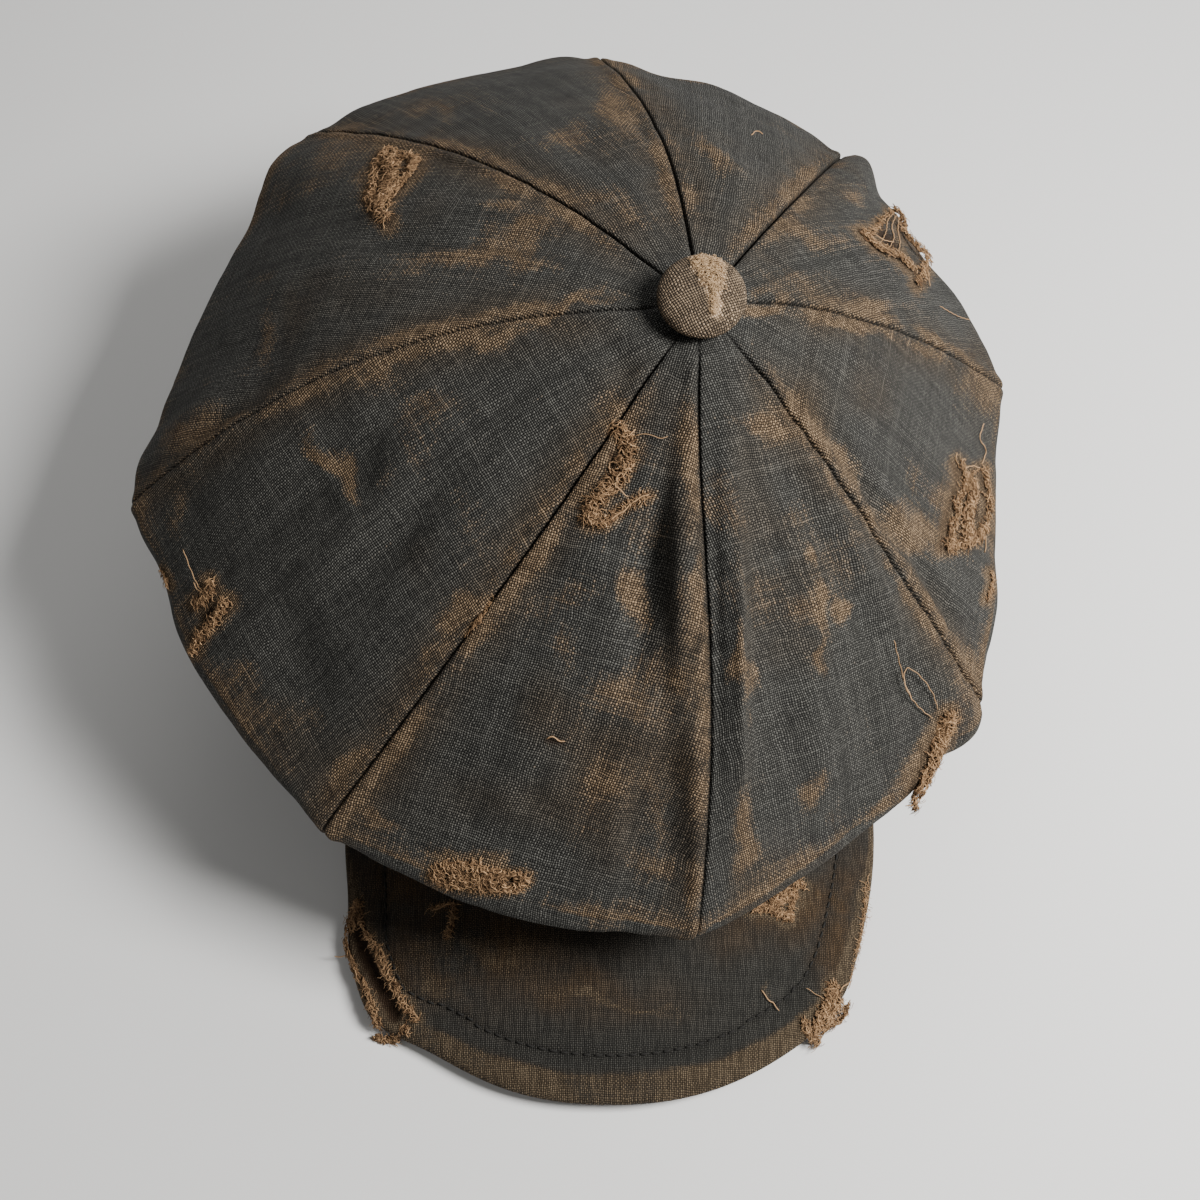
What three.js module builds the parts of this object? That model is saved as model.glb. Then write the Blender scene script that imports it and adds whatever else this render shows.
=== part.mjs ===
// An eight-panel newsboy cap of heavy waxed linen, lying on a table as it would by itself.
// Millimetres, +Z up, the table at z = 0, the peak towards -Y. Left and right are the wearer's.
import * as THREE from 'three';

// Driving dimensions of the head opening and the band
const head = { halfWidth: 83, halfLength: 101 };
const bandWall = 3;
const bandTop = { back: 36, front: 38 };
const pieceGap = 0.35;

// The band's lower edge is lifted over the peak, which lies under it
const peakRise = 24;
const riseSpread = 78;
const risePower = 1.5;

// Peak: covered board, its rounded outline and its two ends beside the band
const peak = {
  thickness: 3.8,
  halfWidth: 84,
  outlineCentre: -60,
  outlineLength: 97,
  squareness: 2.25,
  endAngle: 60,
  frontLift: 3,
  crossBulge: 2.2,
};

// Crown: the point where its seams meet, the cloth, and the soft shape between the seams
const crownTop = new THREE.Vector3(24, 23, 140);
const crownHeart = new THREE.Vector3(0, 20, 52);
const clothWall = 2;
const tipRadius = 3;
const seamGroove = 1.3;
const grooveWidth = 4;
const fullGrooveAt = 30;
const panelPuff = 4.5;
const neckHeight = 3;
const footInset = 2.6;
const foldRoll = 9;

// One row for each seam. aim: direction from the button, degrees from +X. reach: button to fold.
// fold: height of the fold. full: how long the dome stays high. bow: how far the seam's middle
// strays sideways, plus is anticlockwise. sag: how far the cloth hangs below the fold before it
// turns in. foot: where the seam meets the band, degrees from +X. round: how full the outline
// runs from this seam to the next, 0 is straight, 1 a full curve, minus drawn in.
const seams = [
  { name: 'front', aim: -90, reach: 143, fold: 53, full: 1.75, bow: 3.5, sag: 8, foot: -88, round: 0.4 },
  { name: 'front_left', aim: -40, reach: 111, fold: 50, full: 1.5, bow: 1, sag: 7, foot: -40, round: -0.4 },
  { name: 'left', aim: 20, reach: 111, fold: 58, full: 1.6, bow: -1, sag: 16, foot: 10, round: 0.2 },
  { name: 'back_left', aim: 65, reach: 132, fold: 80, full: 1.6, bow: -3, sag: 30, foot: 55, round: 0.4 },
  { name: 'back', aim: 100, reach: 153, fold: 94, full: 1.9, bow: -5, sag: 38, foot: 92, round: 0.2 },
  { name: 'back_right', aim: 136, reach: 170, fold: 92, full: 2.2, bow: -5, sag: 36, foot: 133, round: 0.1 },
  { name: 'right', aim: 187, reach: 167, fold: 78, full: 2.4, bow: -6, sag: 26, foot: 178, round: 0.25 },
  { name: 'front_right', aim: 229, reach: 155, fold: 64, full: 1.5, bow: 5, sag: 14, foot: 228, round: 0.12 },
];

// Panels in order from each seam to the next
const panelNames = [
  'panel_front_left', 'panel_left_front', 'panel_left_back', 'panel_back_left',
  'panel_back_right', 'panel_right_back', 'panel_right_front', 'panel_front_right',
];

// Soft folds that run along a seam. offset: distance from the seam in mm, minus on its right.
// from and to: share of the way from button to fold. depth: plus is a ridge, minus a hollow.
const creases = [
  { seam: 0, offset: -7, from: 0.12, to: 1.0, width: 6, depth: 2.6 },
  { seam: 0, offset: -19, from: 0.1, to: 0.72, width: 9, depth: -4.2 },
  { seam: 0, offset: -20, from: 0.7, to: 1.05, width: 7, depth: -3 },
  { seam: 0, offset: 6, from: 0.1, to: 0.95, width: 6, depth: -3.4 },
  { seam: 0, offset: 16, from: 0.35, to: 1.0, width: 7, depth: 2.4 },
  { seam: 1, offset: 9, from: 0.3, to: 0.9, width: 7, depth: -2.4 },
  { seam: 6, offset: 30, from: 0.45, to: 0.95, width: 14, depth: -3 },
  { seam: 7, offset: -34, from: 0.35, to: 0.9, width: 12, depth: -2.6 },
];

// Stations along a seam: over the top from button to fold, then under it to the band
const topStations = [0.08, 0.16, 0.25, 0.34, 0.43, 0.52, 0.61, 0.7, 0.78, 0.85, 0.91, 0.96, 1];
const underStations = [0.07, 0.15, 0.24, 0.34, 0.47, 0.63, 0.82];
const acrossStations = [0, 0.05, 0.16, 0.32, 0.5, 0.68, 0.84, 0.95];
const topRows = topStations.length + 1;
const rowCount = topRows + underStations.length + 2;
const neckRow = rowCount - 2;
const columnCount = seams.length * acrossStations.length;

const radians = THREE.MathUtils.degToRad;
const lerp = THREE.MathUtils.lerp;

// A smooth hump: 1 in its middle, 0 at and beyond its half width
function hump(distance, halfWidth) {
  const share = Math.min(1, Math.abs(distance) / halfWidth);
  return (1 + Math.cos(Math.PI * share)) / 2;
}

// A point of the head oval, grown outwards, at an angle from +X
function ovalPoint(angle, grown, z) {
  return new THREE.Vector3(
    (head.halfWidth + grown) * Math.cos(angle),
    (head.halfLength + grown) * Math.sin(angle),
    z,
  );
}

// How far an angle lies from the front of the cap, in degrees
function fromFront(angle) {
  const turned = THREE.MathUtils.radToDeg(angle) + 90;
  return Math.abs(((turned + 540) % 360) - 180);
}

function bandBottomAt(angle) {
  const share = Math.min(1, fromFront(angle) / riseSpread);
  return peakRise * Math.cos(share * Math.PI / 2) ** risePower;
}

function bandTopAt(angle) {
  const toFront = (1 - Math.sin(angle)) / 2;
  return lerp(bandTop.back, bandTop.front, toFront);
}

// A point of the crown's foot, which stands on the band, or lifted above it where the cloth turns up
function onBand(degrees, lift) {
  const angle = radians(degrees);
  return ovalPoint(angle, footInset, bandTopAt(angle) + pieceGap + lift);
}

// The line of one seam as points, from beside the button over the fold down to the band
function seamLine(seam) {
  const angle = radians(seam.aim);
  const outward = new THREE.Vector3(Math.cos(angle), Math.sin(angle), 0);
  const fall = crownTop.z - seam.fold;
  const sideways = new THREE.Vector3(-outward.y, outward.x, 0);
  const onTop = (share) => crownTop.clone()
    .addScaledVector(outward, seam.reach * share)
    .addScaledVector(sideways, seam.bow * Math.sin(Math.PI * share))
    .setZ(seam.fold + fall * (1 - share ** seam.full));
  const fold = onTop(1);
  const neck = onBand(seam.foot, neckHeight);
  const steepness = fall * seam.full / seam.reach;
  const overFold = outward.clone().setZ(-steepness).setLength(foldRoll).add(fold);
  const belowFold = fold.clone().lerp(neck, 0.22).setZ(fold.z - seam.sag);
  const under = new THREE.CubicBezierCurve3(fold, overFold, belowFold, neck);
  return [
    onTop(tipRadius / seam.reach),
    ...topStations.map(onTop),
    ...underStations.map((share) => under.getPoint(share)),
    neck,
    onBand(seam.foot, 0),
  ];
}

// How far a row leaves the straight chord between two seams: more under the fold, all at the band
function roundnessAt(panel, row) {
  const underShare = Math.max(0, row - topRows) / (rowCount - 1 - topRows);
  return lerp(seams[panel].round, 1, underShare ** 1.4);
}

// How far the middle of a panel puffs out
function puffAt(row) {
  const fromButton = Math.min(1, row / (topRows - 4));
  const toBand = Math.min(1, (rowCount - 1 - row) / 5);
  return panelPuff * fromButton * toBand;
}

// Sum of the creases at one place, given its distances from the panel's two seams
function creaseAt(panel, along, fromFirst, fromSecond) {
  const next = (panel + 1) % seams.length;
  let sum = 0;
  for (const crease of creases) {
    const onPanel = crease.offset > 0 ? crease.seam === panel : crease.seam === next;
    if (!onPanel) continue;
    const distance = crease.offset > 0 ? fromFirst : fromSecond;
    const middle = (crease.from + crease.to) / 2;
    const lengthwise = hump(along - middle, (crease.to - crease.from) / 2);
    sum += crease.depth * lengthwise * hump(distance - Math.abs(crease.offset), crease.width);
  }
  return sum;
}

// The angle on the band, in degrees, of a place across a panel
function footAngle(panel, across) {
  const from = seams[panel].foot;
  const to = seams[(panel + 1) % seams.length].foot;
  return lerp(from, to < from ? to + 360 : to, across);
}

// The outer face of the whole crown: columns round it, rows from the button to the band
function crownFace() {
  const lines = seams.map(seamLine);
  const face = Array.from({ length: columnCount }, () => []);
  for (let row = 0; row < rowCount; row += 1) {
    const corners = lines.map((line) => line[row]);
    const ring = new THREE.CatmullRomCurve3(corners, true);
    const along = row < topRows ? [0, ...topStations][row] : 1;
    const onTheBand = row >= neckRow;
    for (let panel = 0; panel < seams.length; panel += 1) {
      const first = corners[panel];
      const second = corners[(panel + 1) % seams.length];
      const width = first.distanceTo(second);
      acrossStations.forEach((across, step) => {
        const chord = first.clone().lerp(second, across);
        const point = ring.getPoint((panel + across) / seams.length);
        point.lerp(chord, 1 - roundnessAt(panel, row));
        if (onTheBand) point.copy(onBand(footAngle(panel, across), row === neckRow ? neckHeight : 0));
        const fromFirst = across * width;
        const fromSecond = (1 - across) * width;
        const nearSeam = Math.min(fromFirst, fromSecond);
        const groove = seamGroove * hump(nearSeam, grooveWidth) * Math.min(1, width / fullGrooveAt);
        const lift = puffAt(row) * Math.sin(Math.PI * across)
          + creaseAt(panel, along, fromFirst, fromSecond) - groove;
        const outward = point.clone().sub(crownHeart).normalize();
        point.addScaledVector(outward, onTheBand ? 0 : lift);
        face[panel * acrossStations.length + step][row] = point;
      });
    }
  }
  return face;
}

// At each point of the crown's outer face, from its neighbours: the way outwards, and the way across
// the column, towards the next one
function faceFrames(face) {
  return face.map((column, c) => column.map((point, row) => {
    const before = face[(c + columnCount - 1) % columnCount][row];
    const after = face[(c + 1) % columnCount][row];
    const above = column[Math.max(0, row - 1)];
    const below = column[Math.min(rowCount - 1, row + 1)];
    const round = after.clone().sub(before).normalize();
    const down = below.clone().sub(above).normalize();
    const outward = down.clone().cross(round).normalize();
    return { outward, across: outward.clone().cross(down) };
  }));
}

// A closed body from an outer and an inner grid of the same size, both indexed [column][row]
function sheetBody(outer, inner) {
  const columns = outer.length;
  const rows = outer[0].length;
  const positions = [];
  const faces = [];
  for (const grid of [outer, inner]) {
    grid.forEach((column) => column.forEach((point) => positions.push(point.x, point.y, point.z)));
  }
  const at = (side, column, row) => side * columns * rows + column * rows + row;
  const quad = (a, b, c, d) => faces.push(a, b, c, a, c, d);
  for (let c = 0; c < columns - 1; c += 1) {
    for (let r = 0; r < rows - 1; r += 1) {
      quad(at(0, c, r), at(0, c, r + 1), at(0, c + 1, r + 1), at(0, c + 1, r));
      quad(at(1, c, r), at(1, c + 1, r), at(1, c + 1, r + 1), at(1, c, r + 1));
    }
    quad(at(0, c, 0), at(0, c + 1, 0), at(1, c + 1, 0), at(1, c, 0));
    quad(at(0, c, rows - 1), at(1, c, rows - 1), at(1, c + 1, rows - 1), at(0, c + 1, rows - 1));
  }
  for (let r = 0; r < rows - 1; r += 1) {
    quad(at(0, 0, r), at(1, 0, r), at(1, 0, r + 1), at(0, 0, r + 1));
    const last = columns - 1;
    quad(at(0, last, r), at(0, last, r + 1), at(1, last, r + 1), at(1, last, r));
  }
  const geometry = new THREE.BufferGeometry();
  geometry.setAttribute('position', new THREE.Float32BufferAttribute(positions, 3));
  geometry.setIndex(faces);
  geometry.computeVertexNormals();
  return geometry;
}

const linen = new THREE.MeshStandardMaterial({ color: 0x26241f, roughness: 0.9, metalness: 0 });
const wornLinen = new THREE.MeshStandardMaterial({ color: 0x3a2c1e, roughness: 0.92, metalness: 0 });

function named(name, geometry, material) {
  const mesh = new THREE.Mesh(geometry, material);
  mesh.name = name;
  return mesh;
}

// One panel: its share of the crown's face, drawn in at both seams and given the cloth's thickness
function crownPanel(panel, face, frames) {
  const steps = acrossStations.length;
  const outer = [];
  const inner = [];
  for (let step = 0; step <= steps; step += 1) {
    const c = (panel * steps + step) % columnCount;
    const across = step === steps ? 1 : acrossStations[step];
    const drawIn = pieceGap * (0.5 - across);
    outer.push(face[c].map((point, row) => point.clone().addScaledVector(frames[c][row].across, drawIn)));
    inner.push(outer[step].map((point, row) => (
      point.clone().addScaledVector(frames[c][row].outward, -clothWall))));
  }
  return named(panelNames[panel], sheetBody(outer, inner), linen);
}

// The band: an oval strip of four edges, flat below except where it rises over the peak
function bandPiece() {
  const steps = 72;
  const positions = [];
  const faces = [];
  for (let step = 0; step < steps; step += 1) {
    const angle = (step / steps) * Math.PI * 2;
    const low = bandBottomAt(angle);
    const high = bandTopAt(angle);
    const section = [
      ovalPoint(angle, bandWall, low),
      ovalPoint(angle, bandWall, high),
      ovalPoint(angle, 0, high),
      ovalPoint(angle, 0, low),
    ];
    section.forEach((point) => positions.push(point.x, point.y, point.z));
    const next = ((step + 1) % steps) * 4;
    const here = step * 4;
    for (let edge = 0; edge < 4; edge += 1) {
      const following = (edge + 1) % 4;
      faces.push(here + edge, next + edge, next + following);
      faces.push(here + edge, next + following, here + following);
    }
  }
  const geometry = new THREE.BufferGeometry();
  geometry.setAttribute('position', new THREE.Float32BufferAttribute(positions, 3));
  geometry.setIndex(faces);
  geometry.computeVertexNormals();
  return named('band', geometry, linen);
}

// The peak: rows from its seam under the band out to its rounded edge, arched across
function peakPiece() {
  const columns = 28;
  const rows = 7;
  const power = 2 / peak.squareness;
  const above = [];
  const below = [];
  for (let c = 0; c <= columns; c += 1) {
    const side = (c / columns) * 2 - 1;
    const baseAngle = radians(-90 + side * peak.endAngle);
    const base = ovalPoint(baseAngle, 0.6, bandBottomAt(baseAngle) - pieceGap);
    const edgeAngle = side * Math.PI / 2;
    const edge = new THREE.Vector3(
      Math.sign(side) * peak.halfWidth * Math.abs(Math.sin(edgeAngle)) ** power,
      peak.outlineCentre - peak.outlineLength * Math.abs(Math.cos(edgeAngle)) ** power,
      peak.thickness + peak.frontLift * Math.cos(edgeAngle) ** 2,
    );
    const upper = [];
    const lower = [];
    for (let r = 0; r <= rows; r += 1) {
      const share = r / rows;
      const bulge = peak.crossBulge * Math.sin(Math.PI * share) * Math.cos(edgeAngle);
      const point = base.clone().lerp(edge, share);
      point.z = Math.max(point.z + bulge, peak.thickness);
      upper.push(point);
      lower.push(point.clone().setZ(point.z - peak.thickness));
    }
    above.push(upper);
    below.push(lower);
  }
  return named('peak', sheetBody(above, below), wornLinen);
}

// The covered button: a pinched rim and a low domed face, leaning towards the peak
function buttonPiece() {
  const radius = 12;
  const rimHeight = 2.4;
  const domeHeight = 4;
  const leanDegrees = 16;
  const standOff = 2.8;
  const profile = [new THREE.Vector2(0, 0), new THREE.Vector2(radius - 2.2, 0)];
  for (let step = 0; step <= 6; step += 1) {
    const turn = (step / 6) * Math.PI / 2;
    const reach = radius * Math.cos(turn);
    const height = rimHeight + domeHeight * Math.sin(turn);
    profile.push(new THREE.Vector2(step === 6 ? 0 : reach, height));
  }
  const mesh = named('button', new THREE.LatheGeometry(profile, 32), wornLinen);
  mesh.rotation.x = Math.PI / 2 + THREE.MathUtils.degToRad(leanDegrees);
  mesh.position.copy(crownTop).setZ(crownTop.z + standOff);
  return mesh;
}

const face = crownFace();
const frames = faceFrames(face);
const cap = new THREE.Group();
panelNames.forEach((name, panel) => cap.add(crownPanel(panel, face, frames)));
cap.add(bandPiece(), peakPiece(), buttonPiece());

// The origin is the middle of the cap's outline, on the table
const outline = new THREE.Box3().setFromObject(cap);
const middle = outline.getCenter(new THREE.Vector3());
cap.position.set(-middle.x, -middle.y, -outline.min.z);

export default cap;
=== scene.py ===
import math

import bpy
import numpy as np
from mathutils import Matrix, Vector
from mathutils.kdtree import KDTree


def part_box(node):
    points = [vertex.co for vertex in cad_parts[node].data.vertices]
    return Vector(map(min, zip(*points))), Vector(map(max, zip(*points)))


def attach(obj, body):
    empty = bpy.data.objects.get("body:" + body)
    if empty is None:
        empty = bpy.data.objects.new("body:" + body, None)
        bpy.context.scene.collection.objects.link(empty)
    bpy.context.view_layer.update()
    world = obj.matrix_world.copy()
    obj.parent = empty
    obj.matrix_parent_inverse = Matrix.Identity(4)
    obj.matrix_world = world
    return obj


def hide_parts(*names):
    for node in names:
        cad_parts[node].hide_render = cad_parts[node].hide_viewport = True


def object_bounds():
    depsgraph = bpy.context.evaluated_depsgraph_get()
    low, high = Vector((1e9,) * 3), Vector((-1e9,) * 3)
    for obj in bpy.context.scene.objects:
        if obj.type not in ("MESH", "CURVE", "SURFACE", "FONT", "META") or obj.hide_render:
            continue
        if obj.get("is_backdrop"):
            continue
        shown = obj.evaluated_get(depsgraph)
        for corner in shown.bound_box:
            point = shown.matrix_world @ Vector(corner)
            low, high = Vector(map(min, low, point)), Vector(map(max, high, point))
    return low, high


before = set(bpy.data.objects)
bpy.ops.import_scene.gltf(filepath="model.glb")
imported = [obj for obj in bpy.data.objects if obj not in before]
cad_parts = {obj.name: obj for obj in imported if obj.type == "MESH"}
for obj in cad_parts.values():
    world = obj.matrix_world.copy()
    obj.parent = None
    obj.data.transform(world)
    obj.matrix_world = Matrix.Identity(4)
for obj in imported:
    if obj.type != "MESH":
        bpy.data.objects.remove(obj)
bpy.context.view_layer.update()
bpy.ops.object.select_all(action="DESELECT")
print("frame loaded")

mm = 0.001
bandLow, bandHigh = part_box("band")
headMiddle = np.array([(bandLow.x + bandHigh.x) / 2, (bandLow.y + bandHigh.y) / 2, 0.0]) / mm
rng = np.random.default_rng(8)

# The camera stands where the photo's did. Its place is in millimetres from the middle of the head opening.
camera = {"place": (-3.0, -246.6, 449.9), "down": 60.0, "lens": 45.0, "sensor": 36.0, "pixels": 1200,
          "pixelsPerMm": 3.6}
eye = np.array(camera["place"])
tilt = math.radians(camera["down"])
viewAhead = np.array([0, math.cos(tilt), -math.sin(tilt)])
viewUp = np.array([0, math.sin(tilt), math.cos(tilt)])
focal = camera["lens"] / camera["sensor"] * camera["pixels"]
middlePixel = camera["pixels"] / 2

# Everything below is in millimetres about the middle of the head opening until a mesh is written
head = {"halfWidth": 83.0, "halfLength": 101.0, "bandWall": 3.0, "topBack": 36.0, "topFront": 38.0,
        "gap": 0.35, "peakRise": 24.0, "riseSpread": 78.0, "risePower": 1.5}
crown = {"top": (24.0, 23.0, 140.0), "heart": (0.0, 20.0, 52.0), "tip": 3.0, "puff": 4.5, "neck": 3.0,
         "footInset": 2.6, "foldRoll": 9.0, "cloth": 1.5, "creaseFade": 4.0,
         "collarRise": 1.9, "collarSlope": 0.27, "collarWidth": 11.5,
         "topRows": 124, "underRows": 44, "columns": 96,
         "grooveDepth": 1.1, "grooveWidth": 0.42, "weltHeight": 0.7, "weltFrom": 1.9, "weltWidth": 2.0,
         "pucker": 0.4, "puckerLength": 4.0, "stitchPull": 0.12}

seamColumns = ("name", "aim", "reach", "fold", "full", "bow", "sway", "sag", "foot", "round")
seamRows = [
    ("front", -90, 143, 53, 1.75, 0.8, -1.7, 8, -88, 0.4),
    ("front_left", -40, 111, 50, 1.5, -3, 0, 7, -40, -0.4),
    ("left", 20, 111, 58, 1.6, -1, 0, 16, 10, 0.2),
    ("back_left", 65, 132, 80, 1.6, -3, 0, 30, 55, 0.4),
    ("back", 100, 155, 94, 1.9, -5, 0, 38, 92, 0.2),
    ("back_right", 136, 170, 92, 2.2, -5, 0, 36, 133, 0.1),
    ("right", 187, 167, 78, 2.4, -6, 0, 26, 178, 0.25),
    ("front_right", 229, 155, 64, 1.5, 5, 0, 14, 228, 0.12),
]
seams = [dict(zip(seamColumns, row)) for row in seamRows]
panelNames = ["panel_front_left", "panel_left_front", "panel_left_back", "panel_back_left",
              "panel_back_right", "panel_right_back", "panel_right_front", "panel_front_right"]
topStations = [0, 0.08, 0.16, 0.25, 0.34, 0.43, 0.52, 0.61, 0.7, 0.78, 0.85, 0.91, 0.96, 1]
underStations = [0, 0.07, 0.15, 0.24, 0.34, 0.47, 0.63, 0.82, 1]
foldRow = len(topStations) - 1
neckRow = foldRow + len(underStations) - 1
footRow = neckRow + 1

# Folds that run along a seam, and from the eighth row on the swells and hollows of the outline beside seams
creaseColumns = ("seam", "offset", "start", "stop", "width", "depth")
creaseRows = [
    (0, -6.5, 0.12, 1.0, 7.5, 2.4),
    (0, -19, 0.1, 0.72, 9, -1.4),
    (0, -20, 0.7, 1.05, 7, -3),
    (0, 8.5, 0.15, 0.95, 8.5, 4.4),
    (1, 9, 0.3, 0.9, 7, -2.4),
    (6, 30, 0.45, 0.95, 14, -3),
    (7, -34, 0.35, 0.9, 12, -2.6),
    (1, 35, 0.7, 1.3, 30, 1.6),
    (1, -8, 0.65, 1.35, 12, 3.6),
    (0, 46, 0.65, 1.35, 42, -2.8),
    (5, 21, 0.6, 1.4, 28, 6.0),
    (6, -14, 0.65, 1.35, 14, 2.2),
    (6, 26, 0.7, 1.3, 22, -2.4),
    (3, -9, 0.6, 1.4, 13, 6.5),
    (3, -46, 0.7, 1.3, 18, -2.2),
    (4, -22, 0.7, 1.3, 20, -3.0),
    (4, 16, 0.7, 1.3, 16, 1.6),
]
creases = [dict(zip(creaseColumns, row)) for row in creaseRows]


def hump(distance, halfWidth):
    return (1 + np.cos(np.pi * np.minimum(1, np.abs(distance) / halfWidth))) / 2


def smooth(value, low, high):
    share = np.clip((value - low) / (high - low), 0, 1)
    return share * share * (3 - 2 * share)


# A rounded ridge, 1 high at its middle
def ridge(distance, middle, width):
    return np.exp(-((distance - middle) / width) ** 2)


def unit(vectors):
    return vectors / np.maximum(np.linalg.norm(vectors, axis=-1, keepdims=True), 1e-9)


# Smooth noise from -1 to 1 on a lattice whose cells are size millimetres wide
def softNoise(points, size, seed):
    table = np.random.default_rng(seed).uniform(-1, 1, (32, 32, 32))
    place = np.asarray(points) / size
    cell = np.floor(place).astype(int)
    part = place - cell
    part = part * part * (3 - 2 * part)
    total = 0
    for dx in (0, 1):
        for dy in (0, 1):
            for dz in (0, 1):
                weight = (np.abs(1 - dx - part[..., 0]) * np.abs(1 - dy - part[..., 1])
                          * np.abs(1 - dz - part[..., 2]))
                total = total + weight * table[(cell[..., 0] + dx) % 32, (cell[..., 1] + dy) % 32,
                                               (cell[..., 2] + dz) % 32]
    return total


# Layers of noise added up: the height of each, the size of its cells in millimetres, and its seed
def layered(points, rows):
    return sum(height * softNoise(points, size, seed) for height, size, seed in rows)


# Where points fall in the photo's 1200 pixel frame, and how squarely their faces look at the camera
def photoPixels(points, normals=None):
    away = points - eye
    depth = away @ viewAhead
    px = middlePixel + focal * away[..., 0] / depth
    py = middlePixel - focal * (away @ viewUp) / depth
    if normals is None:
        return px, py
    return px, py, -np.sum(unit(away) * normals, axis=-1)


def ovalPoint(angle, grown, height):
    return np.stack([(head["halfWidth"] + grown) * np.cos(angle),
                     (head["halfLength"] + grown) * np.sin(angle), height + 0 * angle], axis=-1)


def bandTopAt(angle):
    return head["topBack"] + (head["topFront"] - head["topBack"]) * (1 - np.sin(angle)) / 2


def bandBottomAt(angle):
    fromFront = np.abs((np.degrees(angle) + 90 + 540) % 360 - 180)
    share = np.minimum(1, fromFront / head["riseSpread"])
    return head["peakRise"] * np.maximum(0, np.cos(share * np.pi / 2)) ** head["risePower"]


def onBand(angle, lift):
    return ovalPoint(angle, crown["footInset"], bandTopAt(angle) + head["gap"] + lift)


# One seam's line from beside the button over the fold and under it to the band
def seamLine(seam, shares, unders):
    angle = math.radians(seam["aim"])
    outward = np.array([math.cos(angle), math.sin(angle), 0])
    sideways = np.array([-outward[1], outward[0], 0])
    top = np.array(crown["top"])
    fall = top[2] - seam["fold"]

    def onTop(share):
        share = np.asarray(share, float)[..., None]
        aside = seam["bow"] * np.sin(np.pi * share) + seam["sway"] * np.sin(2 * np.pi * share)
        flat = top + outward * seam["reach"] * share + sideways * aside
        flat[..., 2] = seam["fold"] + fall * (1 - share[..., 0] ** seam["full"])
        return flat

    tip = crown["tip"] / seam["reach"]
    line = onTop(tip + (1 - tip) * shares)
    fold = onTop(1.0)
    foot = math.radians(seam["foot"])
    neck = onBand(np.array(foot), crown["neck"])
    steepness = fall * seam["full"] / seam["reach"]
    overFold = fold + unit(outward - np.array([0, 0, steepness])) * crown["foldRoll"]
    belowFold = fold + (neck - fold) * 0.22
    belowFold[2] = fold[2] - seam["sag"]
    t = unders[:, None]
    under = ((1 - t) ** 3 * fold + 3 * (1 - t) ** 2 * t * overFold
             + 3 * (1 - t) * t ** 2 * belowFold + t ** 3 * neck)
    return np.concatenate([line, under, onBand(np.array([foot]), 0.0)])


# A centripetal curve between the second and third of four corners
def ringBetween(corners, across):
    a, b, c, d = corners
    pairs = ((a, b), (b, c), (c, d))
    gaps = [np.maximum(np.linalg.norm(q - p, axis=-1), 1e-4)[:, None] ** 0.5 for p, q in pairs]
    leave = ((b - a) / gaps[0] - (c - a) / (gaps[0] + gaps[1]) + (c - b) / gaps[1]) * gaps[1]
    arrive = ((c - b) / gaps[1] - (d - b) / (gaps[1] + gaps[2]) + (d - c) / gaps[2]) * gaps[1]
    t = across[None, :, None]
    b, c, leave, arrive = (v[:, None, :] for v in (b, c, leave, arrive))
    square = -3 * b + 3 * c - 2 * leave - arrive
    cube = 2 * b - 2 * c + leave + arrive
    return b + leave * t + square * t ** 2 + cube * t ** 3


def surfaceNormals(points):
    down = np.gradient(points, axis=0)
    across = np.gradient(points, axis=1)
    return unit(np.cross(down, across))


shares = np.linspace(0, 1, crown["topRows"])
unders = np.linspace(0, 1, crown["underRows"] + 1)[1:]
even = np.linspace(0, 1, crown["columns"] + 1)
acrossAt = 0.25 * even + 0.75 * (0.5 - 0.5 * np.cos(np.pi * even))
rowAt = np.concatenate([np.interp(shares, topStations, np.arange(foldRow + 1)),
                        np.interp(unders, underStations, np.arange(foldRow, neckRow + 1)), [footRow]])
alongAt = np.concatenate([shares, 1 + unders, [2.05]])
lines = [seamLine(seam, shares, unders) for seam in seams]


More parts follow.
